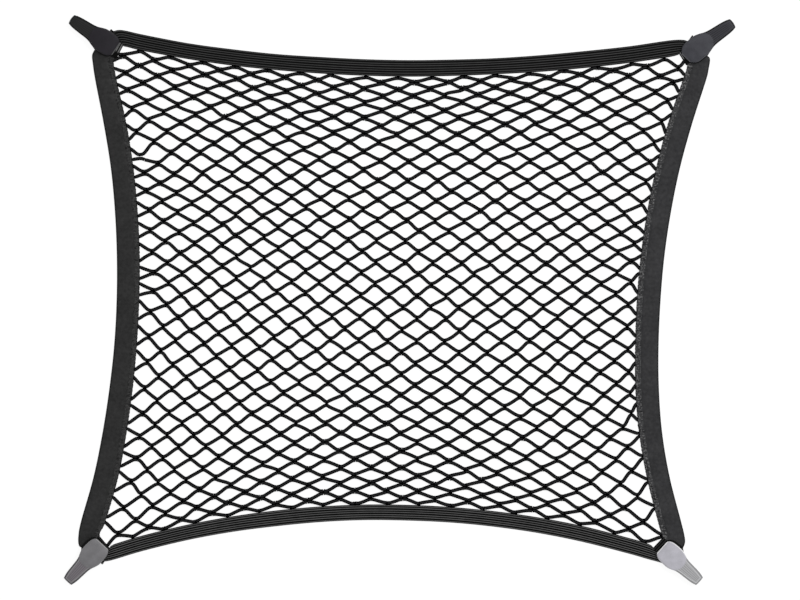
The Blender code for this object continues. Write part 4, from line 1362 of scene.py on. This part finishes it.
# Painted light and shade: one plastic in four tones, darker for the top clips and lighter for the
# bottom ones.
CLIP_SHADES = {
    "charcoal": Shades(
        (0.008, 0.007, 0.009), (0.017, 0.015, 0.020), (0.007, 0.007, 0.007), (0.018, 0.018, 0.018),
        (0.10, 0.10, 0.10), (0.0010, 0.0010, 0.0010), (0.016, 0.016, 0.016), 0.10, 0.05,
    ),
    "slate": Shades(
        (0.020, 0.020, 0.025), (0.056, 0.057, 0.066), (0.004, 0.004, 0.006), (0.038, 0.038, 0.046),
        (0.10, 0.10, 0.11), (0.0008, 0.0008, 0.0010), (0.040, 0.040, 0.046), 0.45, 0.10,
    ),
    "mid_grey": Shades(
        (0.105, 0.103, 0.107), (0.190, 0.187, 0.196), (0.090, 0.082, 0.091), (0.190, 0.175, 0.190),
        (0.30, 0.30, 0.30), (0.065, 0.063, 0.066), (0.26, 0.26, 0.26), 0.45, 0.10,
    ),
    "light_grey": Shades(
        (0.29, 0.29, 0.31), (0.46, 0.45, 0.50), (0.22, 0.22, 0.225), (0.41, 0.41, 0.42),
        (0.85, 0.85, 0.85), (0.230, 0.230, 0.235), (0.52, 0.52, 0.53), 0.85, 0.20,
    ),
}


# --- floor, lights and camera ----------------------------------------------------------------
def make_stage():
    mesh = bpy.data.meshes.new("floor")
    corners = [(-1, -1), (1, -1), (1, 1), (-1, 1)]
    points = [(x * FLOOR_REACH, y * FLOOR_REACH, -FLOOR_DROP) for x, y in corners]
    mesh.from_pydata(points, [], [(0, 1, 2, 3)])
    pale = bpy.data.materials.new("pale_floor")
    pale.use_nodes = True
    set_inputs(pale.node_tree.nodes["Principled BSDF"], {
        "Base Color": (FLOOR_TONE, FLOOR_TONE, FLOOR_TONE, 1.0),
        "Roughness": 1.0,
        "Specular IOR Level": 0.0,
        "Emission Color": WHITE,
        "Emission Strength": FLOOR_GLOW,
    })
    mesh.materials.append(pale)
    floor = add_object("floor", mesh)


def make_light(name, place, size, power):
    data = bpy.data.lights.new(name, "AREA")
    data.size, data.energy = size, power
    light = add_object(name, data)
    light.location = place
    light.rotation_euler = (-Vector(place)).to_track_quat("-Z", "Y").to_euler()


def make_studio():
    scene = bpy.context.scene
    world = bpy.data.worlds.new("studio")
    world.use_nodes = True
    set_inputs(world.node_tree.nodes["Background"], {"Color": WHITE, "Strength": SKY_STRENGTH})
    scene.world = world
    scene.view_settings.view_transform = "Standard"
    make_light("soft_key", KEY_PLACE, KEY_SIZE, KEY_POWER)
    camera = bpy.data.cameras.new("camera")
    camera.sensor_width = 36.0
    camera.lens = camera.sensor_width * CAMERA_HEIGHT / VIEW_WIDTH
    camera.clip_end = 100.0
    scene.camera = add_object("camera", camera)
    scene.camera.location = (0.0, 0.0, CAMERA_HEIGHT)


# Each elastic's material, its tones in the grooves and on the ribs (painted shade in the grooves
# and painted light on the rib tops), and how much of a strap lies in the clip's painted shadow.
# Each tape's material, its tones, and that of the painted glints of thread in its stitched strip.
ELASTICS = {
    "band_top": ("ribbed_elastic_top", 0.0030, 0.056),
    "band_bottom": ("ribbed_elastic_bottom", 0.0015, 0.115),
    "strap_top": ("ribbed_elastic_strap", 0.0040, 0.200, 0.0070),
    # The lower straps take a darker copy of the strap elastic: painted shade under the lower clips'
    # heads.
    "strap_bottom": ("ribbed_elastic_strap_in_painted_shade", 0.0020, 0.025),
}
TAPES = {
    "sleeve_left": ("woven_tape_left", (0.012, 0.012, 0.012), (0.042, 0.042, 0.042), 0.05),
    "sleeve_right": ("woven_tape_right", (0.014, 0.014, 0.015), (0.054, 0.054, 0.056), 0.13),
}


def stand_for(node, piece):
    """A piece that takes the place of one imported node."""
    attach(piece, "root")
    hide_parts(node)


def main():
    random = np.random.default_rng(SEED)
    knots = net_knots()
    knots[-1, 2 * RIGHT_FOOT_KNOTS:-1, 0] -= RIGHT_DEPTH - RIGHT_SHOWN_DEPTH
    knots = knitted_unevenly(knots)
    yarn, thread = net_yarn(), sewing_thread()
    elastics = {piece: ribbed_elastic(*look) for piece, look in ELASTICS.items()}
    tapes = {piece: woven_tape(*look) for piece, look in TAPES.items()}
    plastics = {name: plastic(f"{name}_plastic", shades) for name, shades in CLIP_SHADES.items()}
    net_left, net_right = make_strands(knots, yarn, random)
    links = make_links(knots, yarn)
    bands = make_bands(elastics)
    sleeves, threads = make_sleeves(tapes, thread, knots)
    straps = make_straps(elastics)
    clips = make_clips(plastics)
    make_stage()
    make_studio()

    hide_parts("net")
    for piece in (net_left, net_right, links):
        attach(piece, "root")
    for node, piece in (bands | straps).items():
        stand_for(node, piece)
    for node, piece in sleeves.items():
        stand_for(node, piece)
    for piece in threads.values():
        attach(piece, "root")
    for node, piece in clips.items():
        stand_for(node, piece)


main()
